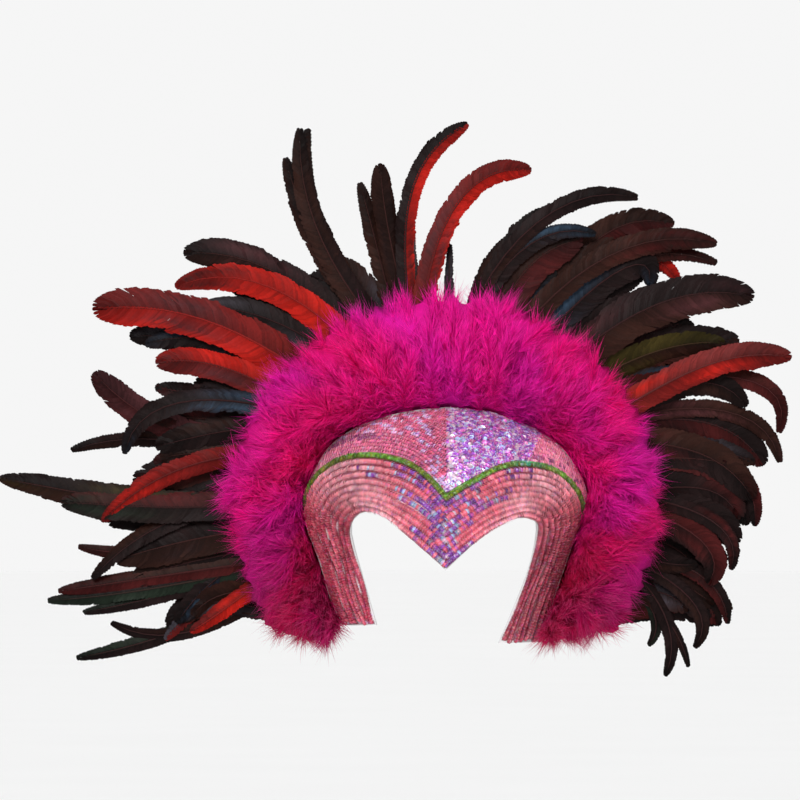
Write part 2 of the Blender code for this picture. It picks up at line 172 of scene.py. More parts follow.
# x columns are shares of CROWN_HALF_WIDTH, z columns of CROWN_RISE above the brow tip or of LEG_DROP below
# it, and depth is a share of CROWN_DEPTH. band says how far towards the rim the green band lies.
STATION_COLUMNS = ("face_x", "face_z", "depth", "rim_x", "rim_z", "band")
STATIONS = (
    (-0.49, -0.74, 0.36, -0.73, -0.75, 1.00),
    (-0.54, -0.42, 0.38, -0.82, -0.38, 1.00),
    (-0.61, 0.01, 0.43, -0.90, 0.06, 1.00),
    (-0.67, 0.21, 0.52, -0.98, 0.25, 1.00),
    (-0.65, 0.31, 0.62, -1.00, 0.39, 0.97),
    (-0.55, 0.36, 0.72, -0.96, 0.56, 0.92),
    (-0.40, 0.31, 0.82, -0.81, 0.77, 0.79),
    (-0.27, 0.21, 0.90, -0.57, 0.90, 0.70),
    (-0.13, 0.10, 0.96, -0.29, 0.97, 0.61),
    (0.00, 0.00, 1.00, 0.01, 1.00, 0.44),
    (0.11, 0.09, 0.96, 0.30, 0.97, 0.52),
    (0.24, 0.19, 0.90, 0.57, 0.89, 0.64),
    (0.38, 0.27, 0.82, 0.79, 0.78, 0.71),
    (0.51, 0.32, 0.74, 0.92, 0.64, 0.78),
    (0.63, 0.30, 0.64, 1.00, 0.48, 0.84),
    (0.65, 0.23, 0.55, 0.96, 0.31, 0.96),
    (0.61, 0.05, 0.43, 0.87, 0.07, 1.00),
    (0.53, -0.31, 0.38, 0.79, -0.31, 1.00),
    (0.38, -0.98, 0.36, 0.69, -0.97, 1.00),
)


def station_values(name, stations):
    """A station column read between stations with smooth cubics, creased at the brow."""
    rows = np.array([row[STATION_COLUMNS.index(name)] for row in STATIONS])
    if name.endswith("_x"):
        rows = rows * CROWN_HALF_WIDTH
    if name.endswith("_z"):
        rows = np.where(rows > 0, rows * CROWN_RISE, rows * LEG_DROP)
    stations = np.asarray(stations, float)
    result = np.zeros(stations.shape)
    before = stations < BROW_STATION
    for first, last, chosen in ((0, BROW_STATION, before), (BROW_STATION, len(rows) - 1, ~before)):
        side = rows[first : last + 1]
        slope = np.gradient(side)
        place = np.clip(stations[chosen] - first, 0, last - first)
        low = np.minimum(place.astype(int), last - first - 1)
        f = place - low
        result[chosen] = (
            (1 + 2 * f) * (1 - f) ** 2 * side[low]
            + f * (1 - f) ** 2 * slope[low]
            + f * f * (3 - 2 * f) * side[low + 1]
            + f * f * (f - 1) * slope[low + 1]
        )
    return result


def crown_points(stations, across):
    """Outer surface: share of the way to the rim is sine of the turn, depth in front of it is cosine."""
    turn = across * DOME_TURN
    share = np.sin(turn) / math.sin(DOME_TURN)
    fall = (np.cos(turn) - math.cos(DOME_TURN)) / (1 - math.cos(DOME_TURN))
    face_x = station_values("face_x", stations)
    face_z = station_values("face_z", stations)
    x = face_x + (station_values("rim_x", stations) - face_x) * share
    z = face_z + (station_values("rim_z", stations) - face_z) * share
    y = -RIM_SETBACK - station_values("depth", stations) * CROWN_DEPTH * fall
    return np.stack([x, y, z], axis=-1)


def crown_normals(stations, across):
    """Unit normals, from the cross product of small steps along and up the surface."""
    step = 0.02
    along = crown_points(stations + step, across) - crown_points(stations - step, across)
    up = crown_points(stations, across + step) - crown_points(stations, across - step)
    return unit(np.cross(along, up))


def section_length(stations):
    """Length of the crown's section from face edge to rim at each station."""
    across = np.linspace(0, 1, 33)
    points = crown_points(np.repeat(stations, len(across)), np.tile(across, len(stations)))
    steps = np.diff(points.reshape(len(stations), len(across), 3), axis=1)
    return np.linalg.norm(steps, axis=2).sum(axis=1)


def band_limits(stations):
    """Shares across the crown where the green band starts and ends."""
    share = station_values("band", stations)
    middle = np.arcsin(np.clip(share, 0, 1) * math.sin(DOME_TURN)) / DOME_TURN
    length = section_length(stations)
    top = np.minimum(middle + BAND_WIDTH / 2 / length, 1 - EDGE_SHOWN / length)
    return top - BAND_WIDTH / length, top


def rows_top(stations):
    """Share across the crown where the coral rows end: under the band, or at the leg's outer edge."""
    length = section_length(stations)
    banded = (stations >= BAND_STATIONS[0]) & (stations <= BAND_STATIONS[1])
    return np.where(banded, band_limits(stations)[0], 1 - RIM_SHOWN / length)


print("crown sections in mm:", (section_length(np.array([0.0, 5.0, 9.0, 13.0, 18.0])) * 1000).round(1))

# %% [markdown]
# A sequin is a thin cupped disc of foil. Thousands of them are needed, so each has only seven sides and a
# back of its own: 21 small faces. Loose ones keep their cup. Those on a string are pulled down over the
# thread on both sides, which gives each row its round rib. All are flat shaded, because real cups are
# pressed in facets, and the facets are what makes them glint one by one.

# %% Sequins
SEQUIN_SIDES = 7
SEQUIN_WALL = 0.06
CUP_RISE = 0.16
STRING_FOLD = 0.72
STRING_TILT = np.radians(31)


def sequins(centres, along, side, normal, radius, fold):
    """Discs: a ring at cosine and sine of its turns, raised by the cup and lowered by fold times the sine.

    The middle is lower than the ring in a loose cup, and as high as the ring's ends in a folded sequin.
    """
    turn = np.arange(SEQUIN_SIDES) * 2 * np.pi / SEQUIN_SIDES
    ring = np.stack([np.cos(turn), np.sin(turn), CUP_RISE - fold * np.abs(np.sin(turn))], axis=1)
    cup = np.vstack([ring, [[0, 0, CUP_RISE if fold > 0 else 0]]])
    shape = np.vstack([cup, cup - [0, 0, SEQUIN_WALL]]) * radius[:, None, None]
    frame_axes = np.stack([along, side, normal], axis=1)
    points = centres[:, None, :] + shape @ frame_axes
    step = np.arange(SEQUIN_SIDES)
    after = (step + 1) % SEQUIN_SIDES
    under = SEQUIN_SIDES + 1
    top = np.stack([np.full(SEQUIN_SIDES, SEQUIN_SIDES), step, after], axis=1)
    triangles = np.vstack([top, top[:, ::-1] + under])
    quads = np.stack([step + under, after + under, after, step], axis=1)
    first = np.arange(len(centres))[:, None, None] * (2 * under)
    return points.reshape(-1, 3), (quads + first).reshape(-1, 4), (triangles + first).reshape(-1, 3)


def sequin_part(stations, across, heading, lift, radius, tilt, fold, dye, chance):
    """Sequins on the crown. Each tilts up along its heading, the way the string runs, towards the brow.

    A folded sequin's dye darkens with the square of the sine down its sides: painted shade in the grooves
    between rows. Its front edge is painted a little lighter: a painted highlight.
    """
    normal = crown_normals(stations, across)
    centres = crown_points(stations, across) + normal * lift[:, None]
    heading = heading * np.where(stations < BROW_STATION, 1.0, -1.0)[:, None]
    along = unit(heading - normal * (heading * normal).sum(axis=1, keepdims=True))
    side = np.cross(normal, along)
    raised = along * np.cos(tilt)[:, None] + normal * np.sin(tilt)[:, None]
    leaning = normal * np.cos(tilt)[:, None] - along * np.sin(tilt)[:, None]
    points, quads, triangles = sequins(centres, raised, side, leaning, radius, fold)
    # Painted shade and highlight: the dye darkens down a folded sequin's sides, in the grooves between rows,
    # and is lighter at its front edge.
    turn = np.arange(SEQUIN_SIDES) * 2 * np.pi / SEQUIN_SIDES
    tone = np.append(1 - fold * (0.80 * np.sin(turn) ** 2 - 0.20 * np.cos(turn)), 1.0)
    dye = (dye[:, None, :] * np.tile(tone, 2)[None, :, None]).reshape(-1, 3)
    return points, quads, triangles, dye, np.repeat(chance, 2 * (SEQUIN_SIDES + 1))


def even_stations(across_at, first, last, pitch):
    """Stations at an even pitch along a row, from the running length of a fine path."""
    fine = np.linspace(first, last, 600)
    path = crown_points(fine, across_at(fine))
    run = np.concatenate([[0], np.cumsum(np.linalg.norm(np.diff(path, axis=0), axis=1))])
    return np.interp(np.arange(pitch / 2, run[-1], pitch), run, fine)


def row_heading(across_at, stations):
    """Direction of a row at its stations, from a small step to either side."""
    step = 0.01
    ahead = crown_points(stations + step, across_at(stations + step))
    return unit(ahead - crown_points(stations - step, across_at(stations - step)))


def cloth_part(stations, low, high, lines, lift, wall, dye):
    """Backing under the sequins, a sheet at one height over the crown and closed below; dark ones are
    painted shade.
    """
    across = low[:, None] + (high - low)[:, None] * np.linspace(0, 1, lines)[None, :]
    along = np.repeat(stations[:, None], lines, axis=1)
    normal = crown_normals(along, across)
    surface = crown_points(along, across)
    points, quads, triangles = slab(surface + normal * lift, surface + normal * (lift - wall))
    dye = np.broadcast_to(dye, (len(stations), lines, 3)).reshape(-1, 3)
    return points, quads, triangles, np.tile(dye, (2, 1)), np.full(len(points), 0.5)


def row_lift(across):
    """Height of a string over the crown: the full lift, and less close to the rim, where it lies tight."""
    return ROWS_LIFT * (1 - 0.4 * np.clip((across - 0.80) / 0.18, 0, 1))


print("one sequin has", 4 * SEQUIN_SIDES, "triangles")

# %% [markdown]
# Foil sequins, feather barbs and down all vary from one small shape to the next. An effect that several
# materials share is best made once as a node group, with named inputs and outputs, and placed in each of
# them with its own values. Only colours and heights leave a group. The shader stays in the material.


# %% Node helpers
def new_group(name, inputs, outputs):
    """An empty shader group with its sockets, and its input and output nodes."""
    group = bpy.data.node_groups.new(name, "ShaderNodeTree")
    for label, kind, value in inputs:
        group.interface.new_socket(label, in_out="INPUT", socket_type=kind).default_value = value
    for label, kind in outputs:
        group.interface.new_socket(label, in_out="OUTPUT", socket_type=kind)
    return group, group.nodes.new("NodeGroupInput"), group.nodes.new("NodeGroupOutput")


def math_node(tree, operation, first, second):
    """A Math node whose two inputs are each a socket or a number."""
    node = tree.nodes.new("ShaderNodeMath")
    node.operation = operation
    for socket, value in zip(node.inputs, (first, second)):
        if isinstance(value, (int, float)):
            socket.default_value = value
        else:
            tree.links.new(value, socket)
    return node.outputs[0]


def colour_mix(tree, blend, share, first, second):
    """A colour Mix node whose share and colours are each a socket or a value."""
    node = tree.nodes.new("ShaderNodeMix")
    node.data_type = "RGBA"
    node.blend_type = blend
    for socket, value in zip((node.inputs[0], node.inputs[6], node.inputs[7]), (share, first, second)):
        if isinstance(value, (int, float, tuple)):
            socket.default_value = value
        else:
            tree.links.new(value, socket)
    return node.outputs[2]


def noise(tree, vector, scale, detail=2.0):
    """A Noise Texture's value at a scale in cycles per metre."""
    node = tree.nodes.new("ShaderNodeTexNoise")
    node.inputs["Scale"].default_value = scale
    node.inputs["Detail"].default_value = detail
    tree.links.new(vector, node.inputs["Vector"])
    return node.outputs["Fac"]


def ramp(tree, value, stops):
    """A Color Ramp through (place, colour) stops."""
    node = tree.nodes.new("ShaderNodeValToRGB")
    band = node.color_ramp
    while len(band.elements) < len(stops):
        band.elements.new(0.5)
    for element, (place, colour) in zip(band.elements, stops):
        element.position = place
        element.color = (*colour, 1)
    tree.links.new(value, node.inputs[0])
    return node.outputs["Color"]


def new_material(name, roughness, metallic, **constants):
    """A Principled material. Values that are the same all over are set on the shader's own sockets."""
    material = bpy.data.materials.new(name)
    material.use_nodes = True
    shader = material.node_tree.nodes["Principled BSDF"]
    shader.inputs["Roughness"].default_value = roughness
    shader.inputs["Metallic"].default_value = metallic
    for label, value in constants.items():
        shader.inputs[label.replace("_", " ")].default_value = value
    return material, material.node_tree, shader


def attribute(tree, name):
    """The Attribute node that reads a value stored on the mesh."""
    node = tree.nodes.new("ShaderNodeAttribute")
    node.attribute_name = name
    return node


def object_place(tree):
    """Object coordinates, in metres."""
    return tree.nodes.new("ShaderNodeTexCoord").outputs["Object"]


def add_bump(tree, shader, height, distance):
    """Feeds a height to the shader's normal through a Bump node."""
    node = tree.nodes.new("ShaderNodeBump")
    node.inputs["Distance"].default_value = distance
    tree.links.new(height, node.inputs["Height"])
    tree.links.new(node.outputs["Normal"], shader.inputs["Normal"])


print("node helpers ready")

# %% [markdown]
# Holographic foil breaks light into small flecks of other hues. The group takes a sequin's dye, paints
# glints of rainbow colour into it where a noise is high, and lets chance set how pale and how shiny each one
# is.


# %% Foil group
def build_foil_group():
    """Painted glints: flecks where a fine noise passes a limit, more in blue dyes, a second noise the hue.
    """
    group, start, end = new_group(
        "foil",
        (
            ("Dye", "NodeSocketColor", (1, 1, 1, 1)),
            ("Chance", "NodeSocketFloat", 0.5),
            ("Place", "NodeSocketVector", (0, 0, 0)),
            ("Flecks", "NodeSocketFloat", 0.3),
        ),
        (("Colour", "NodeSocketColor"), ("Roughness", "NodeSocketFloat"), ("Height", "NodeSocketFloat")),
    )
    fleck = noise(group, start.outputs["Place"], 900, 0)
    hue = noise(group, start.outputs["Place"], 340, 0)
    # Painted glints: rainbow hues and white are put into the dye where the fine noise is high.
    painted_glint = ramp(
        group,
        hue,
        (
            (0.30, (0.95, 0.40, 0.62)),
            (0.42, (0.95, 0.88, 0.60)),
            (0.50, (0.95, 0.95, 1.00)),
            (0.58, (0.40, 0.75, 0.95)),
            (0.70, (0.62, 0.30, 0.95)),
        ),
    )
    gate = math_node(group, "GREATER_THAN", fleck, 0.57)
    parts = group.nodes.new("ShaderNodeSeparateColor")
    group.links.new(start.outputs["Dye"], parts.inputs["Color"])
    blue = math_node(group, "MULTIPLY_ADD", parts.outputs["Blue"], 0.7)
    group.links.new(start.outputs["Flecks"], blue.node.inputs[2])
    share = math_node(group, "MULTIPLY", gate, blue)
    value = math_node(group, "MULTIPLY_ADD", start.outputs["Chance"], 0.4)
    value.node.inputs[2].default_value = 0.80
    tinted = colour_mix(group, "MULTIPLY", 1.0, start.outputs["Dye"], value)
    colour = colour_mix(group, "MIX", share, tinted, painted_glint)
    rough = math_node(group, "MULTIPLY_ADD", start.outputs["Chance"], 0.22)
    rough.node.inputs[2].default_value = 0.28
    group.links.new(colour, end.inputs["Colour"])
    group.links.new(rough, end.inputs["Roughness"])
    group.links.new(fleck, end.inputs["Height"])
    return group


FOIL = build_foil_group()


def foil_material(name, flecks, metallic):
    """Sequin foil: the foil group reads the dye and chance of each disc."""
    material, tree, shader = new_material(name, 0.3, metallic, Coat_Weight=0.15, Coat_Roughness=0.15)
    foil = tree.nodes.new("ShaderNodeGroup")
    foil.node_tree = FOIL
    foil.inputs["Flecks"].default_value = flecks
    tree.links.new(attribute(tree, "dye").outputs["Color"], foil.inputs["Dye"])
    tree.links.new(attribute(tree, "chance").outputs["Fac"], foil.inputs["Chance"])
    tree.links.new(object_place(tree), foil.inputs["Place"])
    tree.links.new(foil.outputs["Colour"], shader.inputs["Base Color"])
    tree.links.new(foil.outputs["Roughness"], shader.inputs["Roughness"])
    add_bump(tree, shader, foil.outputs["Height"], 0.0001)
    return material


CORAL_FOIL = foil_material("coral_foil", 0.12, 0.28)
GREEN_FOIL = foil_material("green_foil", 0.15, 0.30)
LILAC_FOIL = foil_material("lilac_foil", 0.25, 0.40)
print("foil materials:", CORAL_FOIL.name, GREEN_FOIL.name, LILAC_FOIL.name)

# %% [markdown]
# Nine rows of coral sequin string follow the face opening from one leg's foot, over both eyes and the brow
# point, to the other foot. The string's dye is made salmon on the lobes, a painted highlight, and brick red
# on the legs, a painted shade. Lengths of lilac string are worked in beside the brow point. A short table
# lists those lengths.

# %% Coral rows
SEQUIN_ROWS = 9
SEQUIN_PITCH = 0.0020
ROWS_LIFT = 0.0017
CLOTH_LIFT = 0.0007
CLOTH_WALL = 0.0005
HIGHLIGHT_SALMON = np.array([1.00, 0.49, 0.56])
CORAL = np.array([0.90, 0.17, 0.25])
ROSE = np.array([0.88, 0.20, 0.46])
SHADED_BRICK = np.array([0.55, 0.04, 0.095])
PLUM = np.array([0.30, 0.05, 0.22])
LILAC = np.array([0.36, 0.08, 0.54])
ORCHID = np.array([0.66, 0.13, 0.50])
SILVER = np.array([0.76, 0.60, 0.76])
ICE = np.array([0.45, 0.62, 0.92])
PALE_CLOTH = np.array([0.85, 0.74, 0.78])
# a dark backing that stands for the shade in the gaps between rows: painted shade
SHADE_CLOTH = np.array([0.20, 0.02, 0.04])
# first station, last station, lowest row, highest row, and the share of lilac among the sequins there
LILAC_PATCHES = (
    (8.3, 9.7, 0, 8, 0.72),
    (8.5, 9.5, 0, 1, 0.95),
    (7.3, 8.8, 7, 8, 0.70),
    (7.2, 8.8, 4, 5, 0.80),
    (7.4, 8.6, 0, 1, 0.65),
    (6.2, 6.8, 6, 7, 0.60),
    (10.8, 12.0, 7, 8, 0.50),
    (10.3, 11.5, 4, 5, 0.60),
    (9.2, 10.3, 3, 8, 0.55),
    (9.2, 10.6, 0, 0, 0.85),
)


def lilac_share(stations, row):
    """How likely a sequin of a coral row is lilac: the largest share of the patches that hold it."""
    share = np.zeros(len(stations))
    for patch in LILAC_PATCHES:
        first, last, low_row, high_row, chance = patch
        inside = (stations >= first) & (stations <= last) & (row >= low_row) & (row <= high_row)
        share = np.where(inside, np.maximum(share, chance), share)
    return share


def lilac_dyes(count, rng):
    """Mixed lilac, orchid, silver and ice sequins, picked by chance."""
    choice = rng.choice(4, count, p=(0.50, 0.30, 0.10, 0.10))
    return np.stack([LILAC, ORCHID, SILVER, ICE])[choice]


def leg_share(stations):
    """0 on the brow and 1 on both legs, with a soft step between."""
    return np.clip(np.maximum(4.9 - stations, stations - 14.2) / 1.5, 0, 1)


def coral_dyes(stations, row, rng):
    """Salmon eyes and brick legs as painted highlight and shade, coral between, with slow and quick tone
    changes.
    """
    leg = leg_share(stations)
    # Painted highlight in salmon on the eye lobes, and painted shade in brick red on the legs.
    lobes = np.exp(-(((stations - 5.6) / 1.2) ** 2)) + np.exp(-(((stations - 12.6) / 1.3) ** 2))
    wave = 0.5 + 0.5 * np.sin(stations * 2.3 + row * 1.7)
    dye = mix(CORAL, HIGHLIGHT_SALMON, np.clip(lobes * (0.60 + 0.40 * wave), 0, 1))
    dye = mix(dye, SHADED_BRICK, leg * (0.55 + 0.45 * wave))
    # Painted shade: the right leg darkens towards its foot.
    shade = 1 - 0.30 * np.clip((stations - 14.5) / 1.5, 0, 1)
    return dye * shade[:, None] * rng.uniform(0.86, 1.10, (len(stations), 1))


def build_coral_rows():
    """Row by row from the face edge: an even pitch, a small wander that opens streaks, and ragged ends."""
    rng = np.random.default_rng(11)
    ends = len(STATIONS) - 1
    wide = np.linspace(0.06, ends - 0.06, 150)
    low = EDGE_SHOWN / section_length(wide)
    lines = np.arange(14)[None, :]
    streaks = np.clip(np.sin(wide[:, None] * 3.7 + lines * 2.6) * 3 - 1.5, 0, 1)
    pale = leg_share(wide) * np.where(wide < BROW_STATION, 0.8, 0.4)
    # The ground between the rows is painted shade, with streaks of the pale cloth on the legs.
    ground = mix(SHADE_CLOTH, PALE_CLOTH, pale[:, None] * streaks)
    parts = [cloth_part(wide, low, rows_top(wide), lines.size, CLOTH_LIFT, CLOTH_WALL, ground)]
    for row in range(SEQUIN_ROWS):
        phase = rng.uniform(0, 2 * np.pi)

        def across_at(stations):
            start = EDGE_SHOWN / section_length(stations)
            leg = np.clip(np.maximum(5 - stations, stations - 14) / 3, 0, 1)
            wander = 0.22 * leg * np.sin(stations * 2.6 + phase)
            return start + (rows_top(stations) - start) * (row + 0.5 + wander) / SEQUIN_ROWS

        first = rng.uniform(0.02, 0.16)
        last = ends - rng.uniform(0.01, 0.07)
        stations = even_stations(across_at, first, last, SEQUIN_PITCH)
        across = across_at(stations)
        spacing = (rows_top(stations) - EDGE_SHOWN / section_length(stations)) * section_length(stations)
        radius = np.clip(spacing / SEQUIN_ROWS * 0.50, 0.0015, 0.0030)
        radius = radius * rng.uniform(0.94, 1.04, len(stations))
        lilac = rng.random(len(stations)) < lilac_share(stations, row)
        sparkle = lilac_dyes(len(stations), rng) * rng.uniform(0.55, 1.25, (len(stations), 1))
        dye = np.where(lilac[:, None], sparkle, coral_dyes(stations, row, rng))
        radius = np.where(lilac, radius * 0.82, radius)
        tilt = STRING_TILT + rng.normal(0, 0.13, len(stations))
        lift = row_lift(across)
        heading = row_heading(across_at, stations)
        chance = rng.random(len(stations))
        parts.append(sequin_part(stations, across, heading, lift, radius, tilt, STRING_FOLD, dye, chance))
    return make_piece("coral_rows", parts, CORAL_FOIL, smooth=False)


coral_rows = build_coral_rows()
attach(coral_rows, "root")
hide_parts("sequin_rows")

# %% [markdown]
# One raised row of green sequins runs along the top of the coral rows, in the line of the brow. It stands
# higher than its neighbours, so its backing is thick, and two close strings side by side fill its width.
# Olive, leaf and a little teal are mixed in.

# %% Green band
OLIVE = np.array([0.26, 0.30, 0.02])
LEAF = np.array([0.16, 0.42, 0.03])
TEAL = np.array([0.05, 0.55, 0.30])
BAND_LIFT = 0.0030
BAND_PITCH = 0.0017


def build_green_band():
    """A string on each side of the band's middle: olive to leaf by a slow wave, and teal at one place."""
    rng = np.random.default_rng(12)
    wide = np.linspace(*BAND_STATIONS, 100)
    low, high = band_limits(wide)
    # The band's backing is olive darkened to 0.6: painted shade under the raised sequins.
    parts = [cloth_part(wide, low, high, 3, BAND_LIFT - 0.0010, 0.0017, OLIVE * 0.6)]

    def across_at(stations):
        low, high = band_limits(stations)
        return (low + high) / 2

    for lean in (-1, 1):
        stations = even_stations(across_at, *BAND_STATIONS, BAND_PITCH)
        low, high = band_limits(stations)
        across = (low + high) / 2 + lean * (high - low) * 0.20
        wave = 0.5 + 0.5 * np.sin(stations * 2.1 + lean)
        dye = mix(OLIVE, LEAF, np.clip(wave + rng.normal(0, 0.35, len(stations)), 0, 1))
        teal = np.exp(-(((stations - 11.6) / 0.5) ** 2)) * rng.random(len(stations))
        dye = mix(dye, TEAL, teal) * rng.uniform(0.40, 1.30, (len(stations), 1))
        lift = np.full(len(stations), BAND_LIFT)
        radius = np.full(len(stations), 0.0019)
        tilt = np.radians(24) + rng.normal(0, 0.2, len(stations))
        heading = row_heading(across_at, stations)
        chance = rng.random(len(stations))
        parts.append(sequin_part(stations, across, heading, lift, radius, tilt, STRING_FOLD, dye, chance))
    return make_piece("green_sequin_band", parts, GREEN_FOIL, smooth=False)


green_sequin_band = build_green_band()
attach(green_sequin_band, "root")
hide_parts("green_band")

# %% [markdown]
# Above the band the same string is laid row on row, each row a little further from the band, and cut off
# where it meets the rim. Two rows turn plum on the left, and the second row is half plum on the right.
# Silver streaks show above the plum rows and near the middle of the brow.

# %% Upper coral fields
FIELD_ROW = 0.0046


def build_upper_field(name, first, last, seed):
    """Rows at even distances above the band, kept below the rim. The right field's dye is lighter: painted
    light.
    """
    rng = np.random.default_rng(seed)
    # Painted light: the right field's dye is 1.3 times brighter than the left field's.
    painted_light_gain = 1.3 if first > BROW_STATION else 1.0
    wide = np.linspace(first + 0.01, last - 0.01, 60)
    low = band_limits(wide)[1]
    length = section_length(wide)
    high = np.maximum(1 - RIM_SHOWN / length, low)
    # The dark backing between the rows is painted shade.
    parts = [cloth_part(wide, low, high, 8, CLOTH_LIFT, CLOTH_WALL, SHADE_CLOTH)]
    room = ((high - low) * length).max()
    for row in range(int(room / FIELD_ROW) + 1):

        def across_at(stations):
            return band_limits(stations)[1] + (row + 0.5) * FIELD_ROW / section_length(stations)

        stations = even_stations(across_at, first + 0.005, last - 0.005, SEQUIN_PITCH)
        across = across_at(stations)
        kept = across < 1 - (RIM_SHOWN + 0.0004) / section_length(stations)
        stations, across = stations[kept], across[kept]
        if len(stations) == 0:
            continue
        seam_gap = np.abs(crown_points(stations, across)[:, 0])
        near_band = row == 1 and first > BROW_STATION
        plum_stripe = np.clip((7.6 - stations) / 0.7, 0, 0.9) * (row in (4, 5)) + 0.5 * near_band
        pale_streak = (np.sin(stations * 9 + row * 1.3) > 0.1) & (row > 5) & (stations < 8.6)
        seam_flecks = np.clip(1 - seam_gap / 0.024, 0, 1) * np.clip(1.5 - row / 3.5, 0.14, 1)
        dye = mix(coral_dyes(stations, row, rng), ROSE, rng.uniform(0.3, 0.8, len(stations))) * painted_light_gain
        plum = rng.random(len(stations)) < np.maximum(plum_stripe, 0.04)
        silver = rng.random(len(stations)) < np.maximum(seam_flecks * 0.8, pale_streak * 0.7)
        dye = np.where(plum[:, None], mix(dye, PLUM, rng.uniform(0.5, 0.9, len(stations))), dye)
        pale = mix(lilac_dyes(len(stations), rng), SILVER, 0.6) * 1.4
        dye = np.where(silver[:, None], pale, dye)
        tilt = STRING_TILT + rng.normal(0, 0.13, len(stations))
        lift = row_lift(across)
        radius = np.full(len(stations), FIELD_ROW * 0.54)
        heading = row_heading(across_at, stations)
        chance = rng.random(len(stations))
        parts.append(sequin_part(stations, across, heading, lift, radius, tilt, STRING_FOLD, dye, chance))
    return make_piece(name, parts, CORAL_FOIL, smooth=False)


upper_rows_left = build_upper_field("upper_rows_left", 5, 9, 13)
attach(upper_rows_left, "root")
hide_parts("upper_sequins_left")
upper_rows_right = build_upper_field("upper_rows_right", 11.5, 14.5, 14)
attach(upper_rows_right, "root")
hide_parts("upper_sequins_right")

# %% [markdown]
# Right of the middle lies a patch of lilac sequin cloth. Its sequins are smaller and lie every way, so they
# are set on a staggered grid and each one is turned and tipped by chance. That scatter makes the sparkle.

# %% Lilac inlay
INLAY_STATIONS = (9, 11.5)
INLAY_EDGE = 0.0056
INLAY_GRID = (38, 27)


def build_lilac_inlay():
    """A staggered grid in station and height, jittered, with small discs turned and tipped at random."""
    rng = np.random.default_rng(15)
    first, last = INLAY_STATIONS
    wide = np.linspace(first + 0.01, last - 0.01, 50)
    low = band_limits(wide)[1]
    high = 1 - INLAY_EDGE / section_length(wide)
    parts = [cloth_part(wide, low, high, 10, CLOTH_LIFT, CLOTH_WALL, mix(LILAC, SILVER, 0.5))]
    columns, lines = INLAY_GRID
    places = np.linspace(first + 0.04, last - 0.04, columns)
    station, share = np.meshgrid(places, np.linspace(0.02, 0.98, lines))
    share = share + (np.arange(columns) % 2)[None, :] * 0.5 / lines
    stations = station.ravel() + rng.normal(0, 0.010, station.size)
    share = (share.ravel() + rng.normal(0, 0.005, share.size)).clip(0.01, 0.985)
    start = band_limits(stations)[1]
    across = start + (1 - INLAY_EDGE / section_length(stations) - start) * share
    turn = rng.uniform(0, 2 * np.pi, len(stations))
    heading = np.stack([np.cos(turn), rng.normal(0, 0.2, len(turn)), np.sin(turn)], axis=1)
    x = crown_points(stations, across)[:, 0]
    dye = lilac_dyes(len(stations), rng)
    silver = rng.random(len(stations)) < 0.34 * np.exp(-(((x - 0.004) / 0.005) ** 2))
    dye = np.where(silver[:, None], SILVER, dye) * rng.uniform(0.7, 1.15, (len(stations), 1))
    lift = np.full(len(stations), ROWS_LIFT) + rng.uniform(-0.0003, 0.0004, len(stations))
    radius = rng.uniform(0.0017, 0.0022, len(stations))
    tilt = rng.normal(0, 0.30, len(stations))
    chance = rng.random(len(stations))
    parts.append(sequin_part(stations, across, heading, lift, radius, tilt, 0.0, dye, chance))
    return make_piece("lilac_sequin_cloth", parts, LILAC_FOIL, smooth=False)


lilac_sequin_cloth = build_lilac_inlay()
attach(lilac_sequin_cloth, "root")
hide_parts("lilac_inlay")

# %% [markdown]
# The crown itself is stiff white buckram: coarse cotton set with glue. It shows inside, along the rim and
# at the feet, so the CAD piece is kept and only gets a finish. Two crossed waves make the weave.


# %% Crown buckram
def build_buckram():
    """Weave: two sine waves at right angles, multiplied. Colour: white, greyed by a slow noise."""
    material, tree, shader = new_material("buckram", 0.7, 0.0, Sheen_Weight=0.1)
    place = object_place(tree)
    waves = []
    for direction in ("X", "Z"):
        wave = tree.nodes.new("ShaderNodeTexWave")
        wave.bands_direction = direction
        wave.inputs["Scale"].default_value = 260
        wave.inputs["Distortion"].default_value = 0.6
        tree.links.new(place, wave.inputs["Vector"])
        waves.append(wave.outputs["Fac"])
    weave = math_node(tree, "MULTIPLY", *waves)
    stain = noise(tree, place, 45, 3)
    shade = ramp(tree, stain, ((0.35, (0.76, 0.74, 0.75)), (0.60, (0.86, 0.84, 0.85))))
    colour = colour_mix(tree, "MULTIPLY", 0.25, shade, weave)
    tree.links.new(colour, shader.inputs["Base Color"])
    add_bump(tree, shader, weave, 0.0003)
    return material


BUCKRAM = build_buckram()
for face_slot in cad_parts["crown_base"].material_slots:
    face_slot.material = BUCKRAM
print("crown_base keeps its CAD shape and is finished with", BUCKRAM.name)

# %% [markdown]
# The buckram's cut edge is bound with a white cord, which shows as a thin pale line round the sequins. A
# cord is a tube: a ring of points carried along the rim, with a fan of triangles to close each end.


# %% Rim binding
BINDING_RADIUS = 0.0014
BINDING_SIDES = 6


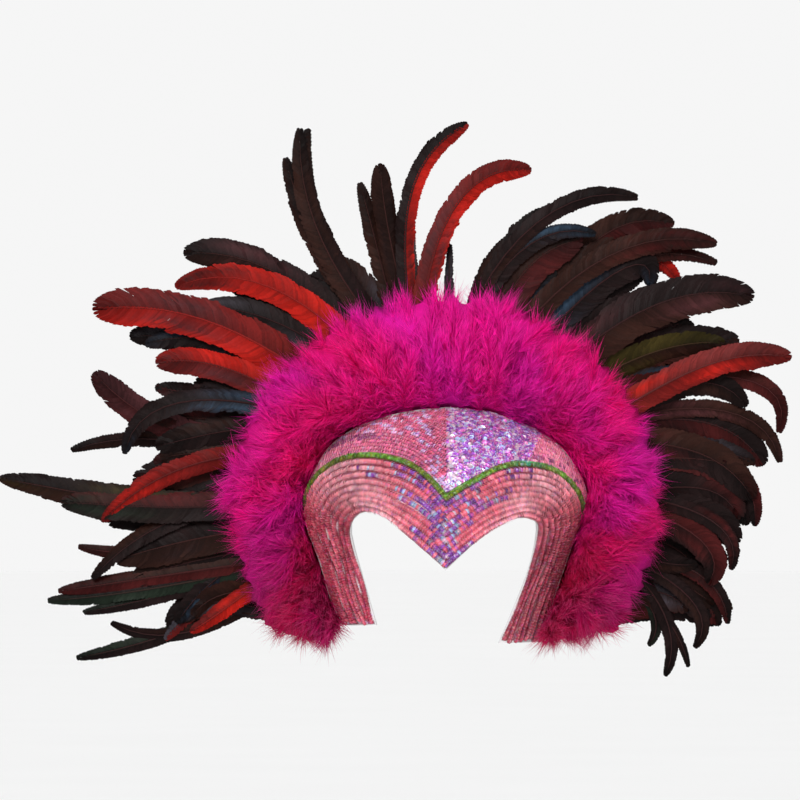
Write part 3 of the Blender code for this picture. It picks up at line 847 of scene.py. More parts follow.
def build_binding():
    """A ring at cosine and sine of its turns, in the plane of the surface normal and the way to the rim."""
    stations = np.linspace(0.05, len(STATIONS) - 1.05, 260)
    across = 1 - 0.0050 / section_length(stations)
    normal = crown_normals(stations, across)
    up = unit(crown_points(stations, across) - crown_points(stations, across - 0.01))
    turn = np.arange(BINDING_SIDES) * 2 * np.pi / BINDING_SIDES
    ring = np.cos(turn)[None, :, None] * normal[:, None, :] + np.sin(turn)[None, :, None] * up[:, None, :]
    centre = crown_points(stations, across) + normal * 0.0006
    points = (centre[:, None, :] + BINDING_RADIUS * ring).reshape(-1, 3)
    first = np.arange(len(stations) - 1)[:, None] * BINDING_SIDES
    step = np.arange(BINDING_SIDES)
    after = (step + 1) % BINDING_SIDES
    corners = (first + step, first + after, first + BINDING_SIDES + after, first + BINDING_SIDES + step)
    quads = np.stack(corners, axis=-1).reshape(-1, 4)
    lid = np.stack([np.zeros(BINDING_SIDES - 2, int), step[1:-1], step[2:]], axis=1)
    triangles = np.vstack([lid[:, ::-1], lid + (len(stations) - 1) * BINDING_SIDES])
    white = (points, quads, triangles, np.ones((len(points), 3)), np.full(len(points), 0.5))
    return make_piece("rim_binding", [white], BUCKRAM)


rim_binding = build_binding()
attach(rim_binding, "root")

# %% [markdown]
# Plumes and down share another group: along a barb the dye is streaked by a fine noise and by chance from
# barb to barb, which is what makes a feather look combed. Its height output gives the barbs their grain.


# %% Barb group
def build_barb_group():
    """Streaks: a fine noise times chance darkens or lightens the dye, and the noise is also the height."""
    group, start, end = new_group(
        "barb_grain",
        (
            ("Dye", "NodeSocketColor", (1, 1, 1, 1)),
            ("Chance", "NodeSocketFloat", 0.5),
            ("Place", "NodeSocketVector", (0, 0, 0)),
            ("Contrast", "NodeSocketFloat", 0.5),
        ),
        (("Colour", "NodeSocketColor"), ("Height", "NodeSocketFloat")),
    )
    grain = noise(group, start.outputs["Place"], 420, 3)
    swing = math_node(group, "SUBTRACT", math_node(group, "ADD", grain, start.outputs["Chance"]), 1.0)
    value = math_node(group, "MULTIPLY_ADD", swing, start.outputs["Contrast"])
    value.node.inputs[2].default_value = 1.0
    colour = colour_mix(group, "MULTIPLY", 1.0, start.outputs["Dye"], value)
    group.links.new(colour, end.inputs["Colour"])
    group.links.new(grain, end.inputs["Height"])
    return group


BARB_GRAIN = build_barb_group()


def barb_material(name, contrast, roughness, **constants):
    """A feather finish: the barb group reads the dye and chance stored on the mesh."""
    material, tree, shader = new_material(name, roughness, 0.0, **constants)
    barb = tree.nodes.new("ShaderNodeGroup")
    barb.node_tree = BARB_GRAIN
    barb.inputs["Contrast"].default_value = contrast
    tree.links.new(attribute(tree, "dye").outputs["Color"], barb.inputs["Dye"])
    tree.links.new(attribute(tree, "chance").outputs["Fac"], barb.inputs["Chance"])
    tree.links.new(object_place(tree), barb.inputs["Place"])
    tree.links.new(barb.outputs["Colour"], shader.inputs["Base Color"])
    add_bump(tree, shader, barb.outputs["Height"], 0.0002)
    return material


DOWN = barb_material("marabou", 0.45, 0.85, Specular_IOR_Level=0.08)
PLUME = barb_material("tail_plume", 0.45, 0.45, Specular_IOR_Level=0.04)
print("feather materials:", DOWN.name, PLUME.name)

# %% [markdown]
# The ruff is marabou: small feathers whose long soft barbs stand out every way. Hair particles could do it,
# but they leave no mesh behind. Here each feather is a curved spine given by clock angle, share of the way
# out and depth, and barbs leave it on both sides. A lumpy core fills the inside, dyed darker as painted
# shade for the depth of the down.

# %% Ruff shape
FAN_CENTRE_RISE = 0.050
RUFF_REACH = 0.176
RUFF_DEPTH = 0.048
RUFF_HEM = 0.106
RUFF_PROFILE = ((0, 0.12, 0.3, 0.6, 0.85, 1), (0.14, 0.50, 0.88, 0.86, 0.54, 0.25))
GAP = 0.0003
RUFF_SECTIONS = (
    ("ruff_left_low", -139, -100, 56),
    ("ruff_left", -100, -45, 84),
    ("ruff_top", -45, 45, 118),
    ("ruff_right", 45, 100, 84),
    ("ruff_right_low", 100, 143, 56),
)
BARBS = 150
# The crown's face lies this far in front of the rim at this distance inside it.
FACE_INSIDE = (0, 0.003, 0.012, 0.022)
FACE_FORWARD = (0, 0.015, 0.033, 0.045)
FOOT_CLOCK = 138


def rim_radius(angles):
    """Distance from the fan's centre to the crown's rim at clock angles."""
    rim = crown_points(np.linspace(0, len(STATIONS) - 1, 400), np.ones(400))
    x = rim[:, 0]
    z = rim[:, 2] - FAN_CENTRE_RISE
    return np.interp(angles, np.degrees(np.arctan2(x, z)), np.hypot(x, z))


def fan_point(angle, radius, y):
    """Point at a clock angle and radius about the fan's centre, at depth y."""
    turn = np.radians(angle)
    x = radius * np.sin(turn)
    z = FAN_CENTRE_RISE + radius * np.cos(turn)
    return np.stack([x, y + 0 * radius, z], axis=-1)


def tape_front():
    """Depth of the front of the plume tape, just behind the rim."""
    return -RIM_SETBACK + CROWN_WALL * math.cos(DOME_TURN) + GAP


def ruff_room(angle):
    """How far the ruff reaches from the rim: its full reach, or less where the straight hem cuts it."""
    hem = RUFF_HEM / np.clip(-np.cos(np.radians(angle)), 0.01, None)
    return np.minimum(RUFF_REACH, hem) - rim_radius(angle)


def down_room(angle):
    """Room for the down's spines: the ruff's room less a trim, because barbs reach past a spine's end."""
    side = np.abs(angle)
    trim = 0.0125 * np.clip((134 - side) / 8, 0.25, 1) + 0.007 * np.exp(-(((side - 111) / 8) ** 2))
    trim = trim - 0.009 * np.exp(-(((angle + 88) / 8) ** 2))
    return ruff_room(angle) - trim - 0.004 * np.sin(np.radians(angle) * 7 + 0.6) ** 2


def ruff_depth(outward):
    """Depth of the ruff's front at a share of the way out: up from the rim, then down to a thin edge."""
    return RUFF_DEPTH * np.interp(outward, *RUFF_PROFILE)


def down_dyes(angle, outward):
    """Magenta, with violet and crimson clouds that change slowly round the ruff and with its width."""
    magenta = np.array([0.86, 0.005, 0.23])
    violet = np.array([0.60, 0.012, 0.52])
    crimson = np.array([0.88, 0.004, 0.12])
    shade = np.array([0.33, 0.002, 0.018])
    orchid = np.array([0.95, 0.010, 0.46])
    cloud = np.sin(np.radians(angle) * 5 + 1.0) * np.cos(outward * 4 + np.radians(angle) * 3)
    cloud = cloud + 0.5 * np.sin(np.radians(angle) * 11 + outward * 7)
    dye = mix(magenta, violet, np.clip(cloud * 0.6, 0, 0.40))
    dye = mix(dye, crimson, np.clip(-cloud * 0.7, 0, 0.7))
    dye = mix(dye, orchid, 0.65 * np.exp(-((angle / 28) ** 2)))
    # Painted shade: the low sections darken towards the feet, into a dark crimson.
    low = np.clip((np.abs(angle) - 88) / 34, 0, 1) * np.clip(1.1 - outward * 0.5, 0, 1)
    return mix(dye, shade, low * 0.84)


print("ruff reaches", round(RUFF_REACH * 1000), "mm from the fan's centre")


# %% [markdown]
# One down feather is a curved spine with 150 barbs. They leave it at random places and open less towards
# its tip, so that every feather ends in a soft tuft. All the feathers of a section are worked out in one go:
# the arrays have a row for each feather and a column for each barb.

# %% Down feathers
def down_core(first, last):
    """A closed ring section inside the ruff: its flat back, and a front at part of the ruff's depth."""
    columns, loop = 2 + round((last - first) / 2), 10
    angle = np.linspace(first - 0.3, last + 0.3, columns)[:, None]
    turn = np.linspace(0, 2 * np.pi, loop, endpoint=False)[None, :]
    squared = np.sign(np.cos(turn)) * np.sqrt(np.abs(np.cos(turn)))
    outward = 0.38 * (1 + squared) * (1 + 0.06 * np.sin(angle * 0.9 + turn * 2))
    front = np.sqrt(np.clip(np.sin(turn), 0, 1))
    radius = rim_radius(angle) + 0.0006 + ruff_room(angle) * outward
    lumps = 1 + 0.10 * np.sin(angle * 0.7 + turn * 3)
    lumps = lumps * (1 - 0.5 * np.clip((np.abs(angle) - 122) / 15, 0, 1))
    y = tape_front() - GAP - 0.001 - 0.66 * front * lumps * ruff_depth(outward.clip(0, 1))
    points = fan_point(angle, radius, y).reshape(-1, 3)
    ring = np.arange(columns - 1)[:, None] * loop
    step = np.arange(loop)
    after = (step + 1) % loop
    corners = (ring + step, ring + loop + step, ring + loop + after, ring + after)
    quads = np.stack(corners, axis=-1).reshape(-1, 4)
    fan = np.stack([np.zeros(loop - 2, int), np.arange(1, loop - 1), np.arange(2, loop)], axis=1)
    triangles = np.vstack([fan, fan[:, ::-1] + (columns - 1) * loop])
    # The core's dye is 0.60 of the down's: painted shade for the depth inside the ruff.
    dye = down_dyes(np.repeat(angle, loop, axis=1).ravel(), outward.ravel()) * 0.60
    return points, quads, triangles, dye, np.full(len(points), 0.5)


def clear_of_crown(points):
    """A point behind the crown's face moves straight out to the rim, so that no barb pierces the wall."""
    clock = np.degrees(np.arctan2(points[..., 0], points[..., 2] - FAN_CENTRE_RISE))
    radius = np.hypot(points[..., 0], points[..., 2] - FAN_CENTRE_RISE)
    inside = rim_radius(clock) + 0.0008 - radius
    face = -RIM_SETBACK - np.interp(inside, FACE_INSIDE, FACE_FORWARD)
    behind = (inside > 0) & (points[..., 1] > face) & (np.abs(clock) < FOOT_CLOCK)
    return fan_point(clock, np.where(behind, radius + inside, radius), points[..., 1])


def down_feathers(first, last, count, rng):
    """Spines run outwards from the core. Barbs leave them at 8 to 54 degrees and bend back along them."""
    order = np.arange(count)
    angle = first + (last - first) * (order + rng.random(count)) / count
    inward = ((order * 0.618 + rng.random(count) * 0.1) % 1) ** 1.25 * 0.67 - 0.035
    length = np.minimum(rng.uniform(0.32, 0.50, count), rng.uniform(0.80, 0.91, count) - inward)
    drift = rng.normal(0, 5, count) * (1 + 3 * (inward < 0.06))
    raise_start = rng.uniform(0.45, 0.95, count)
    raise_end = rng.uniform(0.35, 1.05, count)
    share = np.sort(rng.random((count, BARBS)), axis=1)

    def spine(t):
        turn = (angle[:, None] + drift[:, None] * t).clip(RUFF_SECTIONS[0][1] + 1, RUFF_SECTIONS[-1][2] - 1)
        outward = (inward[:, None] + length[:, None] * t).clip(0, 1.02)
        reach = rim_radius(turn) + down_room(turn) * outward
        high = (raise_start + 0 * inward)[:, None] * (1 - t) + raise_end[:, None] * t
        y = tape_front() - GAP - 0.0015 - high * ruff_depth(outward.clip(0, 1))
        return fan_point(turn, reach, y), turn, outward

    root, turn, outward = spine(share)
    along = unit(spine(share + 0.02)[0] - root)
    towards_viewer = np.array([0.0, -1.0, 0.0])
    side = unit(np.cross(along, towards_viewer))
    front = np.cross(side, along)
    hand = np.where(rng.random(share.shape) < 0.5, -1.0, 1.0)
    opening = np.radians(rng.uniform(8, 54, share.shape)) * (1 - 0.72 * share**2)
    rise = rng.normal(0.10, 0.30, share.shape)
    way = along * np.cos(opening)[..., None] + side * (hand * np.sin(opening))[..., None]
    way = unit(way + front * rise[..., None])
    size = 0.0185 * rng.uniform(0.55, 1.25, share.shape) * (1 + 0.10 * share)
    curl = (along - way) * 0.45 + rng.normal(0, 0.24, (*share.shape, 3))
    t = np.array([0, 0.5, 1.0])[None, :, None]
    reach = size.reshape(-1, 1, 1)
    way = way.reshape(-1, 1, 3)
    centres = root.reshape(-1, 1, 3) + reach * (way * t + curl.reshape(-1, 1, 3) * t * t * 0.6)
    centres = clear_of_crown(centres)
    path = unit(np.gradient(centres, axis=1))[:, :2]
    across = unit(np.cross(path, rng.normal(0, 1, (len(centres), 1, 3))))
    thickness = 0.00017 * rng.uniform(0.8, 1.3, (len(centres), 1, 1)) * np.array([1.0, 0.8])[None, :, None]
    points, quads, triangles = blades(centres, across * thickness, np.cross(path, across) * thickness)
    own = np.repeat(rng.uniform(0.86, 1.12, count), BARBS)[:, None]
    tone = down_dyes(turn.ravel(), outward.ravel()) * own
    tone = tone * rng.uniform(0.85, 1.12, (len(tone), 1))
    # Painted light: the tips are paler, for thin down glowing in the light, more on the low sections; the
    # first ring is a little darker, painted shade at the roots.
    light = np.array([0.92, 0.17, 0.42])
    rings = np.stack([tone * 0.95, tone], axis=1)
    low = np.clip((np.abs(turn.ravel()) - 100) / 25, 0, 1)
    glow_tips = mix(tone, light, 0.14 + 0.22 * low)
    chance = np.repeat(rng.random(len(tone)), 7)
    return points, quads, triangles, ring_values(rings, glow_tips), chance


def build_ruff_section(name, first, last, count, seed):
    """One ruff section: the core, then its down feathers."""
    rng = np.random.default_rng(seed)
    parts = [down_core(first, last), down_feathers(first, last, count, rng)]
    return make_piece("down_" + name, parts, DOWN)


for seed, section in enumerate(RUFF_SECTIONS, start=21):
    ruff = build_ruff_section(*section, seed)
    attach(ruff, "root")
    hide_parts(section[0])

# %% [markdown]
# Behind the ruff stand the tail plumes. Each follows the same spine as its CAD blade, but is built barb by
# barb like a real vane: barbs leave the shaft, sweep towards the tip and lie over one another. Small groups
# of barbs part from the rest, which gives the split, ragged edge of a cock's feather. A few spines are
# moved a little from their blades, and PLUMES_BEHIND adds feathers that the CAD model leaves out.

# %% Plume tables
FAN_REACH = 0.333
FAN_LEAN = 0.022
TAPE_WIDTH = 0.017
PLUME_WIDTH = 0.020
SLOT_PITCH = 0.0015
SLOTS = 14
SPARE_SLOT = 7.5
# black, brown, maroon, red, dark red, plum, slate, blue, green, olive and copper; third letters are painted
# sheen
DYES = {
    "K": (0.011, 0.0055, 0.0055),
    "B": (0.024, 0.0085, 0.0060),
    "M": (0.049, 0.0070, 0.0070),
    "R": (0.360, 0.010, 0.006),
    "D": (0.130, 0.009, 0.008),
    "P": (0.056, 0.0170, 0.0190),
    "S": (0.052, 0.045, 0.056),
    "U": (0.026, 0.052, 0.086),
    "G": (0.012, 0.018, 0.012),
    "O": (0.034, 0.025, 0.006),
    "C": (0.135, 0.020, 0.019),
}
# root, launch, tip and end are clock angles in degrees. reach is a share of FAN_REACH and width of
# PLUME_WIDTH. dyes are those of the left vane, the right vane and a painted sheen, and taper says where
# the point begins.
PLUME_COLUMNS = ("root", "launch", "tip", "reach", "end", "width", "dyes", "taper")
PLUMES_TOP = (
    (-10, -12, 14, 0.77, 98, 0.80, "DRP", 0.86),
    (-12, -8, 3, 0.85, 62, 0.65, "KRK", 0.86),
    (-10, 2, -7, 0.69, 5, 0.50, "KBS", 0.66),
    (-10, -10, -11, 0.77, -4, 0.80, "BBK", 0.86),
    (-12, -22, -15, 0.74, -16, 0.70, "BBK", 0.66),
    (-4, -40, -21.4, 0.90, 2, 0.85, "BKB", 0.58),
    (-7, -38, -25, 0.85, -14, 0.80, "BKK", 0.66),
    (0, 4, 1, 0.58, 2, 0.30, "KKS", 0.66),
)
PLUMES_LEFT = (
    (-72, -80, -93, 0.77, -136, 0.75, "DDR", 0.66),
    (-56, -66, -81, 0.73, -168, 0.80, "KKU", 0.60),
    (-46, -48, -61, 0.90, -96, 1.40, "RDP", 0.86),
    (-54, -64, -64, 0.72, -98, 1.00, "DRP", 0.84),
    (-24, -36, -51, 0.775, -112, 1.05, "RRM", 0.66),
    (-28, -48, -51, 0.70, -88, 1.15, "KKS", 0.66),
    (-17, -40, -46, 0.81, -92, 1.10, "BKP", 0.86),
    (-34, -52, -55, 0.68, -92, 0.90, "BKK", 0.66),
    (-44, -62, -62, 0.76, -108, 0.70, "KKU", 0.86),
    (-70, -86, -70, 0.84, -42, 1.00, "MPP", 0.86),
    (-68, -84, -82, 0.66, -110, 0.80, "MMP", 0.66),
    (-50, -62, -62, 0.80, -92, 0.90, "KKS", 0.86),
    (-76, -80, -82, 0.85, -108, 0.55, "KKB", 0.66),
)
PLUMES_LEFT_LOW = (
    (-112, -112, -117, 0.64, -122, 0.60, "RDR", 0.66),
    (-88, -100, -90, 0.86, -86, 1.05, "KMG", 0.78),
    (-88, -102, -87, 1.00, -80, 1.00, "BKO", 0.66),
    (-86, -96, -102, 0.81, -138, 0.60, "KBK", 0.66),
    (-98, -98, -100, 0.75, -108, 1.30, "BKK", 0.66),
    (-94, -106, -97, 0.83, -76, 0.50, "MMB", 0.66),
    (-112, -96, -103, 0.89, -98, 0.65, "MBM", 0.66),
    (-112, -102, -104, 0.92, -94, 0.60, "GKG", 0.66),
    (-110, -106, -107, 0.85, -100, 0.50, "KGK", 0.66),
    (-108, -108, -116, 0.70, -138, 0.60, "DSP", 0.66),
    (-116, -122, -110, 0.80, -62, 0.45, "KKB", 0.66),
    (-118, -114, -113, 0.90, -100, 0.55, "KGK", 0.66),
)
PLUMES_RIGHT = (
    (62, 66, 67, 0.84, 98, 1.00, "CDR", 0.78),
    (36, 48, 56, 0.83, 102, 1.50, "KBP", 0.74),
    (16, 28, 46, 0.84, 104, 0.85, "BBM", 0.78),
    (6, -4, 32, 0.81, 104, 0.60, "KKB", 0.78),
    (6, -2, 29, 0.69, 108, 0.65, "KKU", 0.66),
    (34, 8, 43.2, 0.673, 188, 1.10, "KKU", 0.66),
    (44, 62, 60, 0.72, 92, 1.00, "OBO", 0.66),
    (58, 76, 72, 0.71, 144, 0.90, "KKB", 0.78),
    (46, 60, 78, 0.77, 198, 0.65, "MMB", 0.66),
    (60, 70, 83, 0.76, 168, 0.60, "BBP", 0.66),
    (66, 72, 94, 0.70, 188, 0.75, "MKM", 0.66),
    (70, 80, 94, 0.68, 164, 0.90, "KKM", 0.78),
    (22, 36, 39, 0.81, 104, 1.20, "BMB", 0.66),
)
PLUMES_RIGHT_LOW = (
    (88, 84, 103, 0.66, 200, 0.55, "KKM", 0.66),
    (90, 90, 107, 0.62, 214, 1.10, "MKM", 0.66),
    (106, 94, 104, 0.58, 84, 0.70, "KKB", 0.66),
    (106, 100, 113, 0.69, 176, 0.55, "KMK", 0.66),
    (106, 106, 120, 0.65, 216, 0.55, "KKB", 0.66),
    (106, 108, 128, 0.63, 204, 0.50, "KKK", 0.66),
    (112, 116, 124, 0.66, 168, 0.30, "KBK", 0.66),
    (110, 114, 125, 0.56, 220, 0.40, "KKG", 0.66),
)
PLUME_SECTIONS = (
    ("plumes_left_low", -134, -84, PLUMES_LEFT_LOW, 20),
    ("plumes_left", -84, -14.5, PLUMES_LEFT, 19),
    ("plumes_top", -14.5, 3, PLUMES_TOP, 0),
    ("plumes_right", 3, 86, PLUMES_RIGHT, 11),
    ("plumes_right_low", 86, 138, PLUMES_RIGHT_LOW, 14),
)
PLUMES_BEHIND = {
    "plumes_left_low": (
        (-104, -106, -104, 0.72, -112, 1.20, "KBK", 0.78),
        (-92, -96, -93, 0.76, -100, 1.20, "KMK", 0.78),
    ),
    "plumes_left": (
        (-62, -70, -79, 0.66, -104, 1.10, "KKB", 0.78),
        (-78, -84, -86, 0.70, -104, 1.20, "BKM", 0.78),
        (-30, -38, -42, 0.72, -64, 1.00, "BBM", 0.70),
    ),
    "plumes_top": (
        (-5, -41, -20.3, 0.895, 8, 0.60, "KKB", 0.58),
        (-9, -34, -24.5, 0.83, -22, 0.55, "BBK", 0.80),
    ),
    "plumes_right": (
        (14, 16, 27.2, 0.665, 80, 1.40, "BMP", 0.78),
        (9, 10, 20, 0.610, 60, 1.20, "MBP", 0.78),
        (17, 29, 48.5, 0.815, 112, 0.55, "BBM", 0.66),
        (20, 40, 46.5, 0.725, 150, 0.70, "RDR", 0.66),
        (14, 30, 40, 0.74, 96, 1.20, "BMB", 0.78),
        (30, 42, 51, 0.70, 104, 1.10, "KGK", 0.75),
        (34, 47, 55, 0.68, 110, 1.00, "KPK", 0.75),
        (44, 54, 61, 0.75, 92, 1.30, "KBM", 0.72),
        (62, 72, 83, 0.72, 150, 1.30, "KMK", 0.78),
        (80, 80, 84, 0.60, 110, 1.20, "KMK", 0.78),
        (68, 78, 89, 0.69, 150, 1.20, "BKM", 0.78),
        (50, 60, 66, 0.68, 100, 1.20, "KBK", 0.78),
        (74, 80, 86, 0.66, 140, 1.20, "KMK", 0.78),
    ),
    "plumes_right_low": (
        (94, 92, 98, 0.66, 150, 1.30, "KMK", 0.78),
        (98, 100, 108, 0.62, 160, 1.20, "KBK", 0.78),
        (88, 88, 93, 0.66, 160, 1.20, "KKM", 0.78),
    ),
}
print("plumes in the tables:", sum(len(section[3]) for section in PLUME_SECTIONS))

# %% [markdown]
# A row of the table becomes a plume in two steps. Its spine is a cubic in the fan's plane, and that plane
# then leans back. A line of barbs is laid along each side of the spine. A barb is as long as the vane is
# wide at the place where the barb ends, which keeps the feather's outline smooth.


# %% One plume
BARB_PITCH = 0.0024
QUILL = 0.10


def heading(degrees):
    """Unit vector in the fan's plane at a clock angle."""
    return np.array([math.sin(math.radians(degrees)), math.cos(math.radians(degrees))])


def plume_line(plume, shares):
    """The spine in the fan's plane: a cubic that leaves the tape at launch and arrives at end."""
    start = (rim_radius(plume["root"]) - CROWN_WALL + TAPE_WIDTH / 2) * heading(plume["root"])
    finish = plume["reach"] * FAN_REACH * heading(plume["tip"])
    pull = 1.1 * np.linalg.norm(finish - start)
    s = np.asarray(shares)[..., None]
    return (
        (1 + 2 * s) * (1 - s) ** 2 * start
        + s * (1 - s) ** 2 * pull * heading(plume["launch"])
        + s * s * (3 - 2 * s) * finish
        + s * s * (s - 1) * pull * heading(plume["end"])
    )


def vane_half_width(shares, plume):
    """Half the vane: nothing at the quill, a long even part, then a point that rounds off after taper."""
    vane = np.clip(shares / 0.35, 0, 1)
    vane = vane * vane * (3 - 2 * vane)
    taper = plume["taper"]
    point = np.sqrt(1 - ((shares - taper) / (1.012 - taper)).clip(0, 1) ** 2)
    return 0.0004 + plume["width"] * PLUME_WIDTH / 2 * vane * point


def leaning(place, y):
    """Points in space from points in the fan's plane: the fan leans back with the square of the distance."""
    outside = np.clip(np.linalg.norm(place, axis=-1) - CROWN_HALF_WIDTH, 0, None)
    lean = FAN_LEAN * (outside / (FAN_REACH - CROWN_HALF_WIDTH)) ** 2
    return np.stack([place[..., 0], y + lean, place[..., 1] + FAN_CENTRE_RISE], axis=-1)


def plume_parts(plume, depth, density, rng):
    """A shaft and two rows of barbs. A barb's middle line runs from the shaft out and towards the tip."""
    fine = np.linspace(0, 1, 60)
    length = np.linalg.norm(np.diff(plume_line(plume, fine), axis=0), axis=1).sum()
    count = max(18, round(length / BARB_PITCH * density))
    dyes = [np.array(DYES[letter]) for letter in plume["dyes"]]
    cup = rng.uniform(0.0008, 0.0024)
    roll = rng.normal(0, 0.0015)
    parts = []
    for hand in (-1, 1):
        base = QUILL + (1 - QUILL) * (np.arange(count) + rng.uniform(0.3, 0.7, count)) / count
        group = np.cumsum(rng.random(count) < 0.16)
        split = rng.normal(0, 1, group.max() + 1)[group]
        half = vane_half_width(base, plume)
        loose = np.clip((1 - base) / 0.16, 0.15, 1)
        split = split * loose
        sweep = (half * 1.15 + split * 0.0007) / length
        t = np.array([0, 0.45, 0.90, 1.0])
        shares = base[:, None] + sweep[:, None] * t[None, :] ** 1.25
        shares = np.minimum(shares, 1.012)
        ragged = 1 + rng.normal(0, 0.025, count) * loose + 0.05 * split
        ragged = ragged - 0.32 * (rng.random(count) < 0.05) * base * loose
        outer = vane_half_width(shares[:, 2:3], plume) * ragged[:, None]
        lateral = outer * (1 - (1 - t[None, :]) ** 1.6) - 0.0003 * (1 - t[None, :])
        line = plume_line(plume, shares)
        ahead = plume_line(plume, shares + 0.004)
        along = unit(ahead - line)
        side = np.stack([along[..., 1], -along[..., 0]], axis=-1)
        place = line + side * (lateral * hand)[..., None]
        bow = (lateral / (plume["width"] * PLUME_WIDTH / 2)) ** 2
        y = depth + cup * bow + roll * bow * hand + 0.0005 * split[:, None] * t[None, :] ** 2
        centres = leaning(place, y)
        path = unit(np.gradient(centres, axis=1))[:, :3]
        forward = np.stack([along[..., 0], 0 * along[..., 0], along[..., 1]], axis=-1)[:, :3]
        spacing = length * (1 - QUILL) / count
        tuck = rng.normal(0.10, 0.04, (count, 1, 1)) * np.array([0.0, 1.0, 0.0])
        across = unit(forward - path * (forward * path).sum(axis=-1, keepdims=True) + tuck)
        across = across * -hand * spacing * np.array([0.62, 0.74, 0.52])[None, :, None]
        lift = unit(np.cross(path, across)) * 0.00022
        points, quads, triangles = blades(centres, across, lift)
        own = dyes[0] if hand < 0 else dyes[1]
        # Painted sheen: a wave along the vane mixes in the third dye, most in the vane's middle.
        painted_sheen = 0.5 + 0.5 * np.sin(base * rng.uniform(5, 9) + rng.uniform(0, 6))
        painted_sheen = np.clip(painted_sheen + rng.normal(0, 0.05, count), 0, 1) ** 2
        near = mix(own, dyes[2], painted_sheen * 0.25) * 0.62
        middle = mix(own, dyes[2], painted_sheen * 0.85)
        edge = mix(own, dyes[2], painted_sheen * 0.20)
        fade = 1 - 0.5 * np.clip((base - 0.70) / 0.30, 0, 1) - 0.25 * np.sin(base * 9 + roll * 900) ** 2
        rings = np.stack([near, middle, edge], axis=1) * fade[:, None, None]
        chance = np.repeat(rng.random(count), 10)
        parts.append((points, quads, triangles, ring_values(rings, rings[:, 2] * 0.9), chance))
    steps = np.linspace(0, 0.985, 15)
    line = plume_line(plume, steps)
    along = unit(plume_line(plume, steps + 0.004) - line)
    side = np.stack([along[:, 1], 0 * along[:, 0], -along[:, 0]], axis=1)
    centres = leaning(line, np.full(len(steps), depth - 0.0002))[None]
    girth = np.linspace(1, 0.25, len(steps) - 1)[None, :, None]
    across = -side[None, :-1] * 0.0010 * girth
    lift = np.array([0.0, -1.0, 0.0]) * 0.0009 * girth * np.ones_like(across)
    points, quads, triangles = blades(centres, across, lift)
    shaft = mix(dyes[0], np.array([0.05, 0.02, 0.02]), 0.5)
    parts.append((points, quads, triangles, np.tile(shaft, (len(points), 1)), np.full(len(points), 0.5)))
    return parts


print("plume functions ready")

# %% [markdown]
# The plumes in the tables give the outline. Between and behind them real fans are packed with shorter
# dark feathers that close the gaps, so most sections also get some of those, drawn by a seeded chance.
# A plume's slot is its depth on the tape. The table's plumes take the slots in turn from the front, and
# the added ones are spread over the rear slots by the golden share, so that no two in a row lie close.


# %% Plume sections
FILLER_LIMIT = 114


def filler_plumes(first, last, count, rng):
    """Short dark plumes spread evenly over the section, each a little turned and curled by chance."""
    rows = []
    for number in range(count):
        root = first + (last - first) * (number + 0.5) / count + rng.normal(0, 2)
        root = min(max(root, first + 1), last - 1)
        sense = math.copysign(1, root)
        tip = root + sense * rng.uniform(2, 16)
        tip = min(max(tip, -FILLER_LIMIT), FILLER_LIMIT)
        end = tip + sense * rng.uniform(5, 55)
        width = rng.uniform(0.65, 1.15)
        dyes = str(rng.choice(["KKB", "KBS", "BKM", "MKM", "KKU", "BBK", "KKK", "KMB"]))
        reach = rng.uniform(0.57, 0.70) - 0.07 * (-40 < tip < -14)
        rows.append((root, tip - sense * 6, tip, reach, end, width, dyes, 0.75))
    return rows


def build_plume_section(name, first, last, plumes, fillers, offset, seed):
    """All the plumes of one section in one mesh, each at the depth of its slot: slot times the pitch."""
    rng = np.random.default_rng(seed)
    parts = []
    for number, row in enumerate(plumes):
        plume = dict(zip(PLUME_COLUMNS, row))
        parts += plume_parts(plume, tape_front() + (number + 0.75 + offset) * SLOT_PITCH, 1.0, rng)
    for number, row in enumerate([*PLUMES_BEHIND[name], *filler_plumes(first, last, fillers, rng)]):
        plume = dict(zip(PLUME_COLUMNS, row))
        slot = SPARE_SLOT + number * 0.618 % 1 * (SLOTS - 1 - SPARE_SLOT)
        parts += plume_parts(plume, tape_front() + slot * SLOT_PITCH, 0.75, rng)
    return make_piece("feathers_" + name, parts, PLUME, crease=math.radians(50))


for number, section in enumerate(PLUME_SECTIONS):
    feathers = build_plume_section(*section, number % 2 / 2, 41 + number)
    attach(feathers, "root")
    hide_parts(section[0])

# %% [markdown]
# Seen from behind, the quills end in a strip of black tape that follows the rim. It is a folded ribbon, so
# it is made as a slab round the rim, with a slightly wavy back and a finely grained finish.


# %% Tape
def build_ribbon():
    """Ribbon: one fine noise changes the black and is also the height of the threads."""
    material, tree, shader = new_material("ribbon", 0.6, 0.0, Specular_IOR_Level=0.2)
    place = object_place(tree)
    grain = noise(tree, place, 1400, 1)
    shade = ramp(tree, grain, ((0.3, (0.012, 0.009, 0.010)), (0.7, (0.045, 0.034, 0.038))))
    tree.links.new(shade, shader.inputs["Base Color"])
    add_bump(tree, shader, grain, 0.0003)
    return material


RIBBON = build_ribbon()


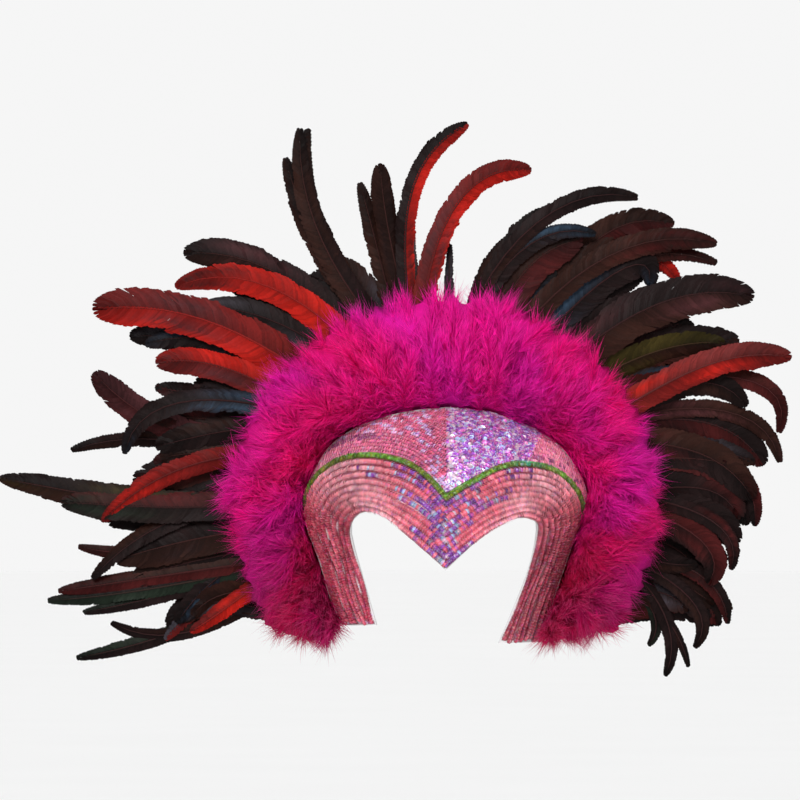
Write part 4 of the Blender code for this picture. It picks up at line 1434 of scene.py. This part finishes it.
def build_tape(name, first, last):
    """A box section carried along the rim: four corners at each clock angle, closed at both ends."""
    count = 3 + round((last - first) / 2)
    angle = np.linspace(first + 0.1, last - 0.1, count)[:, None]
    inner = rim_radius(angle) - CROWN_WALL
    front = tape_front()
    back = front + SLOTS * SLOT_PITCH
    wave = 0.0004 * np.sin(angle * 0.8)
    outward = np.array([[0, 0.5, 1]])
    top = fan_point(angle, inner + TAPE_WIDTH * outward, front)
    bottom = fan_point(angle, inner + TAPE_WIDTH * outward, back + wave)
    points, quads, triangles = slab(top, bottom)
    return make_piece(
        "tape_" + name,
        [(points, quads, triangles, np.full((len(points), 3), 0.03), np.full(len(points), 0.5))],
        RIBBON,
        crease=math.radians(50),
    )


for section in PLUME_SECTIONS:
    tape = build_tape(*section[:3])
    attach(tape, "root")

# %% [markdown]
# The headdress is shown as worn, held up in the air over a plain pale floor. The lights are three wide
# suns, like big soft boxes far away, because their light is even all over the floor. The world behind is
# nearly as pale as the floor, so that from the front the horizon hardly shows.

# %% Floor and light
FLOOR_HEIGHT = -0.36
FLOOR_RADIUS = 30


def build_floor():
    """A wide flat disc below: a ring at cosine and sine of its turns round a middle, pale and matt."""
    material, tree, shader = new_material("studio_floor", 0.9, 0.0)
    grain = noise(tree, object_place(tree), 3, 2)
    shade = ramp(tree, grain, ((0.3, (0.880, 0.880, 0.880)), (0.7, (0.890, 0.890, 0.890))))
    tree.links.new(shade, shader.inputs["Base Color"])
    count = 48
    turn = np.arange(count) * 2 * np.pi / count
    x, y = FLOOR_RADIUS * np.cos(turn), FLOOR_RADIUS * np.sin(turn)
    rim = np.stack([x, y, np.full(count, FLOOR_HEIGHT)], axis=1)
    points = np.vstack([rim, [[0, 0, FLOOR_HEIGHT]]])
    step = np.arange(count)
    triangles = np.stack([np.full(count, count), step, (step + 1) % count], axis=1)
    part = (points, np.zeros((0, 4), int), triangles, np.ones((count + 1, 3)), np.ones(count + 1))
    return make_piece("floor", [part], material)


def add_sun(name, strength, spread, towards):
    """A sun whose light travels along towards and is spread over an angle in degrees."""
    light = bpy.data.lights.new(name, "SUN")
    light.energy = strength
    light.angle = math.radians(spread)
    lamp = bpy.data.objects.new(name, light)
    sideways = math.hypot(towards[0], towards[1])
    lamp.rotation_euler = (math.atan2(sideways, -towards[2]), 0, math.atan2(-towards[0], towards[1]))
    bpy.context.scene.collection.objects.link(lamp)


floor = build_floor()
add_sun("key", 2.9, 25, (0.22, 0.87, -0.50))
add_sun("fill", 1.0, 60, (-0.60, 0.70, -0.25))
add_sun("rear", 0.8, 60, (0.10, -0.75, -0.60))

world = bpy.data.worlds.new("studio")
world.use_nodes = True
bpy.context.scene.world = world
backdrop = world.node_tree.nodes["Background"]
backdrop.inputs["Color"].default_value = (0.92, 0.92, 0.92, 1)
seen = world.node_tree.nodes.new("ShaderNodeLightPath")
strength = world.node_tree.nodes.new("ShaderNodeMapRange")
strength.inputs["To Min"].default_value = 0.35
strength.inputs["To Max"].default_value = 1.0
world.node_tree.links.new(seen.outputs["Is Camera Ray"], strength.inputs["Value"])
world.node_tree.links.new(strength.outputs["Result"], backdrop.inputs["Strength"])
bpy.context.scene.view_settings.view_transform = "Standard"

# %% [markdown]
# The camera stands far off with a long lens, level with the face, so that the crown in front of the fan is
# hardly enlarged. The picture is 600 mm wide at the fan, and its middle lies up and left of the brow.

# %% Camera
CAMERA_PLACE = np.array([-0.010, -6.0, 0.070])
PICTURE_MIDDLE = np.array([-0.034, 0.0, 0.1265])
PICTURE_WIDTH = 0.600
SENSOR = 36.0

lens_data = bpy.data.cameras.new("camera")
lens_data.sensor_width = SENSOR
distance = float(np.linalg.norm(PICTURE_MIDDLE - CAMERA_PLACE))
lens_data.lens = SENSOR * distance / PICTURE_WIDTH
lens_data.clip_end = 100
camera = bpy.data.objects.new("camera", lens_data)
camera.location = CAMERA_PLACE
gaze = unit(PICTURE_MIDDLE - CAMERA_PLACE)
camera.rotation_euler = (math.acos(-gaze[2]), 0, math.atan2(-gaze[0], gaze[1]))
bpy.context.scene.collection.objects.link(camera)
bpy.context.scene.camera = camera
print("lens in mm:", round(lens_data.lens))
